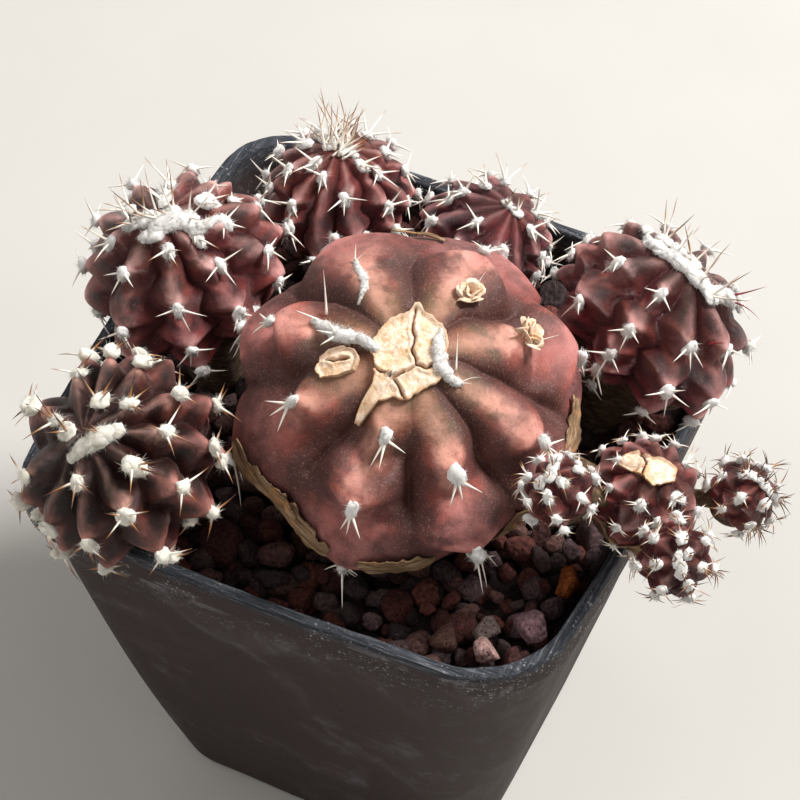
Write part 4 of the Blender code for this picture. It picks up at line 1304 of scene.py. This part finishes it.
CORK_OUTLINE = (
    (1.3, 9.0), (2.2, 7.2), (3.5, 6.4), (5.3, 4.7), (5.8, 2.7), (5.9, -1.4), (5.0, -4.0), (3.0, -5.2),
    (-0.6, -7.4), (-2.9, -6.8), (-5.4, -7.5), (-9.3, -12.0), (-7.8, -9.2), (-5.2, -5.0), (-4.9, -1.4),
    (-6.0, 1.3), (-4.4, 3.9), (-2.1, 6.1), (0.8, 7.4),
)
CORK_CRACKS = (
    ((1.0, 8.0), (0.6, 5.2), (0.9, 2.5), (0.4, 0.6), (1.2, -1.5)),
    ((1.2, -1.5), (2.6, -2.2), (4.6, -1.8)),
    ((1.2, -1.5), (-0.4, -2.6), (-2.2, -3.6), (-4.0, -2.9), (-5.0, -1.8)),
    ((-2.2, -3.6), (-1.4, -5.4), (-0.9, -6.9)),
)
SCAR_OUTLINE = ((3.4, 0.2), (2.8, 1.6), (0.9, 2.5), (-1.6, 2.3), (-3.1, 1.2), (-3.4, -0.7), (-2.5, -2.2),
                (0.2, -2.3), (2.6, -1.5))
SCAR_CRACKS = (((-1.8, 0.5), (-0.4, 0.1), (0.9, 0.4), (1.7, 0.2)),)
SMALL_CORK = ((-4.5, 2.4), (-2.8, 3.0), (-1.0, 2.7), (1.0, 1.4), (2.5, 1.3), (5.1, -0.3), (4.6, -2.1),
              (1.1, -3.4), (-0.4, -1.6), (-1.9, -0.8), (-4.2, 0.6))
SMALL_CRACKS = (((-0.6, 2.4), (0.2, 0.6), (-0.4, -1.2)),)

# Dead skin under the plant: places by angle, bearing and width in mm, with how far it lifts and curls
PEELS = {
    "mother": (
        (((82, -140, 1.4), (84, -128, 4.6), (85, -114, 5.8), (86, -102, 4.8), (89, -92, 2.0)), 0.25, 0.3),
        (((79, -112, 0.9), (80, -109, 1.9), (80, -106, 1.0)), 0.5, 0.7),
        (((82, 24, 0.9), (79, 14, 2.6), (77, 5, 2.4), (77, 1, 0.9)), 0.35, 0.5),
        (((66, 120, 0.6), (68, 114, 1.3), (69, 108, 1.3), (68, 101, 0.6)), 0.5, 0.3),
        (((88, -82, 1.2), (89, -73, 4.4), (89, -64, 4.2), (90, -57, 1.2)), 0.3, 0.6),
        (((89, -39, 1.1), (87, -32, 4.4), (86, -23, 4.2), (86, -16, 1.0)), 0.3, 0.6),
    ),
    "offset_front_right": (
        (((92, -128, 0.4), (98, -110, 1.1), (101, -88, 1.4), (100, -66, 1.1), (96, -52, 0.4)), 0.3, 0.4),
    ),
}
# Dried flowers: angle from the crown, bearing and size
ROSETTES = ((32.4, 74.3, 2.4), (43.0, 39.6, 3.0))
PETALS = 18


def outline_reach(outline, swings):
    """How far a closed outline reaches from its middle in each direction."""
    points = np.array(outline)
    closed = np.concatenate((points, points[:1]))
    dense = np.concatenate([closed[n] + (closed[n + 1] - closed[n]) * np.linspace(0, 1, 40)[:, None]
                            for n in range(len(points))])
    turns = np.arctan2(dense[:, 1], dense[:, 0])
    reach = np.hypot(dense[:, 0], dense[:, 1])
    result = []
    for swing in swings:
        gap = np.abs((turns - swing + math.pi) % (2 * math.pi) - math.pi)
        close = gap < 0.05
        result.append(reach[close].max() if close.any() else reach[gap.argmin()])
    return np.array(result)


def line_gap(x, y, lines):
    """Distance of points to the nearest of some bent lines."""
    best = np.full(x.shape, 99.0)
    for line in lines:
        for (ax, ay), (bx, by) in zip(line, line[1:]):
            run = np.array((bx - ax, by - ay))
            share = np.clip(((x - ax) * run[0] + (y - ay) * run[1]) / (run @ run), 0, 1)
            best = np.minimum(best, np.hypot(x - ax - share * run[0], y - ay - share * run[1]))
    return best


def add_patch(shape, head, angle, bearing, outline, cracks, thick, seed, spokes=180, rings=30, level=0.0):
    """A crust of cork on the skin, its outline and cracks given in millimetres round its middle."""
    middle = skin(head, angle, turn_at(head, bearing))
    outward = unit(middle - head.centre)
    right = np.array(camera_axes()[0])
    ex = unit(right - outward * np.dot(right, outward))
    ey = np.cross(outward, ex)
    swings = np.linspace(-math.pi, math.pi, spokes, endpoint=False)
    reach = outline_reach(outline, swings)
    reach = reach * (1 + 0.05 * layered_noise(
        np.stack((np.cos(swings), np.sin(swings), swings * 0), -1) * 9, 1.0, seed, 2))
    shares = np.linspace(0, 1, rings + 1)[1:]
    layers = [(reach * share, thick, share) for share in shares]
    layers += [(reach, thick * 0.2, 1.0), (reach * 0.97, -0.5, 1.0)]
    points, crack, edge = [], [], []
    for radius, height, share in layers:
        x = np.cos(swings) * radius
        y = np.sin(swings) * radius
        flat = middle + ex * x[:, None] + ey * y[:, None]
        angle, turn = polar_place(head, flat)
        spots = np.stack((x, y, x * 0 + seed), -1)
        stray_x, stray_y = (layered_noise(spots, 1.8, seed + number, 3) * 0.55 for number in (7, 8))
        gap = line_gap(x + stray_x, y + stray_y, cracks)
        groove = np.exp(-(gap / (0.2 + 0.1 * soft_noise(spots, 2.0, seed + 9))) ** 2)
        lips = np.exp(-((gap - 0.55) / 0.3) ** 2) * 0.3
        rough = layered_noise(spots, 2.2, seed + 4, 4) * 0.5
        curl = 0.45 * smooth_step(share, 0.86, 0.98)
        lift = height + (rough + lips + curl - groove * 0.7) * (1.0 if height == thick else 0.0)
        placed = skin(head, angle, turn, lift)
        if height == thick:
            plate = flat + outward * (lift - (x * x + y * y) / 2.4 / head.radius)[:, None]
            placed = placed * (1 - level) + plate * level
        points.append(placed)
        crack.append(groove)
        edge.append(np.full(spokes, smooth_step(share, 0.85, 1.0)))
    angle, turn = polar_place(head, middle)
    ends = [skin(head, angle, turn, thick), skin(head, angle, turn, -0.6)]
    shape.add(np.concatenate((*points, ends)), tube_faces(len(points), spokes, flip=True),
              crack=np.concatenate((*crack, (0, 0))), edge=np.concatenate((*edge, (0, 1))))


PEEL_STEPS = 12
PEEL_COLUMNS = 13
PEEL_THICK = 0.28


def add_peel(shape, head, path, lift, curl, seed):
    """A ragged strip of dead skin that follows the skin and curls away at its edges."""
    path = np.array(path, float)
    where = np.arange(len(path))
    places = np.linspace(0, len(path) - 1, PEEL_STEPS * (len(path) - 1) + 1)
    angle, bearing, width = (np.interp(places, where, path[:, column]) for column in range(3))
    turn = turn_at(head, bearing)
    middle = skin(head, angle, turn)
    along = unit(np.gradient(middle, axis=0))
    outward = unit(middle - head.centre)
    side = unit(np.cross(outward, along))
    run = np.concatenate(([0], np.cumsum(np.linalg.norm(np.diff(middle, axis=0), axis=1))))
    tops, unders, grains = [], [], []
    for share in np.linspace(-1, 1, PEEL_COLUMNS):
        spots = np.stack((run, run * 0 + math.copysign(3.0, share), run * 0 + seed), -1)
        ragged = 1 + 0.6 * layered_noise(spots, 1.5, seed, 3)
        shift = share * width / 2 * ragged
        flat = middle + side * shift[:, None]
        here_angle, here_turn = polar_place(head, flat)
        ripple = layered_noise(np.stack((run * 0.5, shift * 2, run * 0 + seed), -1), 2.0, seed + 3, 3) * 0.35
        rise = lift + curl * share ** 2 * np.minimum(width, 2.5) / 2.5 + ripple
        tops.append(skin(head, here_angle, here_turn, rise + PEEL_THICK / 2))
        unders.append(skin(head, here_angle, here_turn, rise - PEEL_THICK / 2))
        grains.append(shift)
    loops = np.array(tops + unders[::-1])
    rows, count = loops.shape[:2]
    ends = (loops[:, 0].mean(0), loops[:, -1].mean(0))
    strands = np.array(grains + grains[::-1]).T
    points = np.concatenate((loops.transpose(1, 0, 2).reshape(-1, 3), ends))
    shape.add(points, tube_faces(count, rows, flip=True), strand=np.concatenate((strands.ravel(), (0, 0))),
              run=np.concatenate((np.repeat(run, rows), (0, run[-1]))))


def add_rosette(shape, head, angle, bearing, size, draw):
    """The crumpled, papery remains of a flower."""
    here, outward, down = skin_frame(head, angle, bearing)
    side = np.cross(outward, down)
    ball, faces = BALLS[2]
    for number in range(PETALS):
        turn = number * 2.4
        share = math.sqrt((number + 0.5) / PETALS)
        away = down * math.cos(turn) + side * math.sin(turn)
        tilt = 0.25 + 0.9 * share + draw.uniform(-0.25, 0.25)
        tall = unit(outward * math.cos(tilt) + away * math.sin(tilt))
        wide = unit(np.cross(tall, away) + draw.normal(size=3) * 0.15)
        thin = np.cross(wide, tall)
        local = ball * np.array((draw.uniform(0.4, 0.62), draw.uniform(0.3, 0.5), 0.075)) * size
        local[:, 2] += (local[:, 0] ** 2 * 0.5 + local[:, 1] ** 2 * 0.3) / size * draw.uniform(0.3, 1.3)
        local[:, 2] += soft_noise(local * 3 / size + number, 1.0, number + 5) * 0.1 * size
        place = here + away * share * size * 0.68 + outward * size * (0.5 - 0.32 * share)
        shape.add(place + local @ np.stack((wide, tall, thin)), (faces,), edge=draw.uniform(0, 0.35))


# Light, floor and camera


def camera_axes():
    back = Vector((math.sin(CAMERA_YAW) * math.cos(CAMERA_RISE),
                   -math.cos(CAMERA_YAW) * math.cos(CAMERA_RISE), math.sin(CAMERA_RISE)))
    right = Vector((math.cos(CAMERA_YAW), math.sin(CAMERA_YAW), 0))
    return right, back.cross(right), back


def add_camera():
    right, up, back = camera_axes()
    camera = link("camera", bpy.data.cameras.new("camera"))
    camera.data.sensor_width = 36
    camera.data.lens = 180
    camera.data.clip_start = 0.01
    place = Matrix((right, up, back)).transposed().to_4x4()
    place.translation = CAMERA_AIM + back * CAMERA_DISTANCE + right * CAMERA_SLIDE - up * CAMERA_DROP
    camera.matrix_world = place
    bpy.context.scene.camera = camera


def add_softbox(name, place, size, power, colour):
    lamp = bpy.data.lights.new(name, "AREA")
    lamp.shape = "DISK"
    lamp.size = size
    lamp.energy = power
    lamp.color = colour
    obj = link(name, lamp)
    obj.location = place
    aim = Vector((0, 0, 0.08)) - Vector(place)
    obj.rotation_euler = aim.to_track_quat("-Z", "Y").to_euler()


def add_studio():
    world = bpy.data.worlds.new("studio")
    bpy.context.scene.world = world
    world.use_nodes = True
    background = world.node_tree.nodes["Background"]
    background.inputs["Color"].default_value = (1.0, 0.97, 0.93, 1.0)
    background.inputs["Strength"].default_value = 0.38
    add_softbox("window", (0.5, 0.5, 1.0), 0.45, 22.0, (1.0, 0.985, 0.96))
    add_softbox("fill", (-0.8, -0.5, 0.9), 1.2, 3.8, (1.0, 0.98, 0.96))
    bpy.context.scene.view_settings.view_transform = "Standard"
    bm = bmesh.new()
    bmesh.ops.create_grid(bm, x_segments=2, y_segments=2, size=1.5)
    mesh = bpy.data.meshes.new("floor")
    bm.to_mesh(mesh)
    bm.free()
    floor = link("floor", mesh)
    floor.location.z = -0.0002
    made = Finish("floor_finish", roughness=0.8, specular=0.3)
    colour = made.mix(made.noise(40.0, 3, 0.5), (0.50, 0.485, 0.46), (0.55, 0.535, 0.51))
    mesh.materials.append(made.finish(colour))
    floor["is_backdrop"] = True


# Colours of the skins: pillows, skin, lower half, darker skin and painted shade below an areole, crests with
# their painted highlight, bands and blotches, crown, furrows with their painted shade, and specks, with how
# much of each there is
MOTHER_SKIN = dict(
    dark=(0.105, 0.033, 0.028), mid=(0.29, 0.076, 0.058), base=(0.13, 0.030, 0.033),
    low=(0.25, 0.066, 0.068), chin=(0.055, 0.014, 0.017), ridge=(0.86, 0.43, 0.33), keel=0.72,
    crest=(0.45, 1.05), patch=(0.50, 0.11, 0.08), patch_share=0.6, ridge_low=(0.46, 0.175, 0.16),
    crown=(0.14, 0.10, 0.042), crown_share=0.6, furrow=(0.062, 0.021, 0.017), hollow_share=0.9,
    hollow=(-0.42, 0.04), speck=(0.52, 0.30, 0.27),
    band=(0.070, 0.033, 0.032), band_share=0.65, dusk_share=0.65, gloss=0.3, rough=0.42,
)
OFFSET_SHARED = dict(
    keel=0.3, ridge_low=(0.74, 0.38, 0.36), crest=(0.5, 1.05), patch=(0.32, 0.07, 0.040), patch_share=0.35,
    crown=(0.08, 0.036, 0.024), crown_share=0.5, furrow=(0.062, 0.007, 0.010), hollow_share=0.7,
    hollow=(-0.36, 0.16), speck=(0.50, 0.32, 0.30), band_share=0.92, dusk_share=0.35, gloss=0.4, rough=0.24,
)


def offset_skin(dark, mid, base, low, chin, ridge, band, **more):
    return (OFFSET_SHARED | dict(dark=dark, mid=mid, base=base, low=low, chin=chin, ridge=ridge, band=band)
            | more)


OFFSET_SKINS = {
    "offset_front_left": offset_skin(
        (0.020, 0.007, 0.006), (0.080, 0.021, 0.017), (0.085, 0.009, 0.009), (0.19, 0.022, 0.022),
        (0.040, 0.005, 0.005), (0.74, 0.44, 0.36), (0.010, 0.0055, 0.005), furrow=(0.018, 0.003, 0.003),
        crown=(0.035, 0.014, 0.010), speck=(0.34, 0.20, 0.17), ridge_low=(0.62, 0.27, 0.23)),
    "offset_back_left": offset_skin(
        (0.075, 0.024, 0.021), (0.25, 0.055, 0.050), (0.27, 0.018, 0.026), (0.44, 0.055, 0.064),
        (0.13, 0.012, 0.015), (0.97, 0.62, 0.58), (0.030, 0.016, 0.016)),
    "offset_back": offset_skin(
        (0.125, 0.030, 0.028), (0.36, 0.070, 0.064), (0.30, 0.023, 0.030), (0.48, 0.062, 0.068),
        (0.15, 0.014, 0.017), (0.97, 0.64, 0.61), (0.045, 0.019, 0.019)),
    "offset_back_right": offset_skin(
        (0.115, 0.026, 0.034), (0.32, 0.055, 0.064), (0.29, 0.020, 0.034), (0.46, 0.057, 0.074),
        (0.15, 0.012, 0.019), (0.88, 0.50, 0.50), (0.040, 0.015, 0.019)),
    "offset_right": offset_skin(
        (0.060, 0.021, 0.020), (0.23, 0.052, 0.046), (0.24, 0.015, 0.027), (0.40, 0.044, 0.058),
        (0.11, 0.011, 0.015), (0.97, 0.62, 0.59), (0.023, 0.013, 0.014)),
    "offset_front_right": offset_skin(
        (0.125, 0.027, 0.024), (0.37, 0.062, 0.055), (0.32, 0.027, 0.029), (0.46, 0.058, 0.056),
        (0.13, 0.012, 0.014), (0.78, 0.38, 0.34), (0.060, 0.024, 0.022)),
}


def main():
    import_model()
    cad_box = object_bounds()
    add_camera()
    add_studio()
    build_pot()
    build_soil()
    finishes = {name: skin_material(name + "_finish", palette, wrinkle=0.03, sheen=0.02, velvet=0.16)
                for name, palette in OFFSET_SKINS.items()}
    finishes["mother"] = skin_material("mother_skin_finish", MOTHER_SKIN, wrinkle=0.01, sheen=0.06,
                                       velvet=0.32)
    white_wool = wool_material("wool_finish", (0.97, 0.935, 0.885), (0.84, 0.79, 0.73))
    warm_wool = wool_material("warm_wool_finish", (0.95, 0.88, 0.72), (0.80, 0.68, 0.44))
    spine_finish = spine_material("spine_finish")
    for number, (name, head) in enumerate(HEADS.items()):
        build_body(name, head, finishes.get(name, finishes["offset_front_right"]))
        wool, needles = dress_head(name, head, number)
        wool.build(name + "_wool", warm_wool if name == "offset_front_left" else white_wool, skin_slot(name))
        needles.build(name + "_spines", spine_finish, skin_slot(name))
    mother, host = HEADS["mother"], HEADS["offset_front_right"]
    cork = Shape("crack", "edge")
    add_patch(cork, mother, 0.0, 0.0, CORK_OUTLINE, CORK_CRACKS, 0.7, 3)
    add_patch(cork, mother, 23.0, -152.4, SCAR_OUTLINE, SCAR_CRACKS, 0.7, 14, 90, 18, 0.3)
    cork.build("mother_cork", cork_material("cork_finish"), "mother_skin")
    flowers = Shape("crack", "edge")
    draw = np.random.default_rng(61)
    for angle, bearing, size in ROSETTES:
        add_rosette(flowers, mother, angle, bearing, size, draw)
    flowers.build("mother_dry_flowers", cork_material("dry_flower_finish"), "mother_skin")
    for name, strips in PEELS.items():
        peels = Shape("strand", "run")
        for number, (path, lift, curl) in enumerate(strips):
            add_peel(peels, HEADS[name], path, lift, curl, 30 + number)
        peels.build(name + "_dry_skin", peel_material(name + "_dry_skin_finish"), skin_slot(name))
    patch = Shape("crack", "edge")
    add_patch(patch, host, 19.2, -149.4, SMALL_CORK, SMALL_CRACKS, 0.35, 25, 110, 18)
    patch.build("offset_front_right_cork", cork_material("orange_cork_finish", 0.5), "offset_skin")
    size = {"cad": [list(corner) for corner in cad_box], "visual": [list(corner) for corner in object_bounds()]}


main()
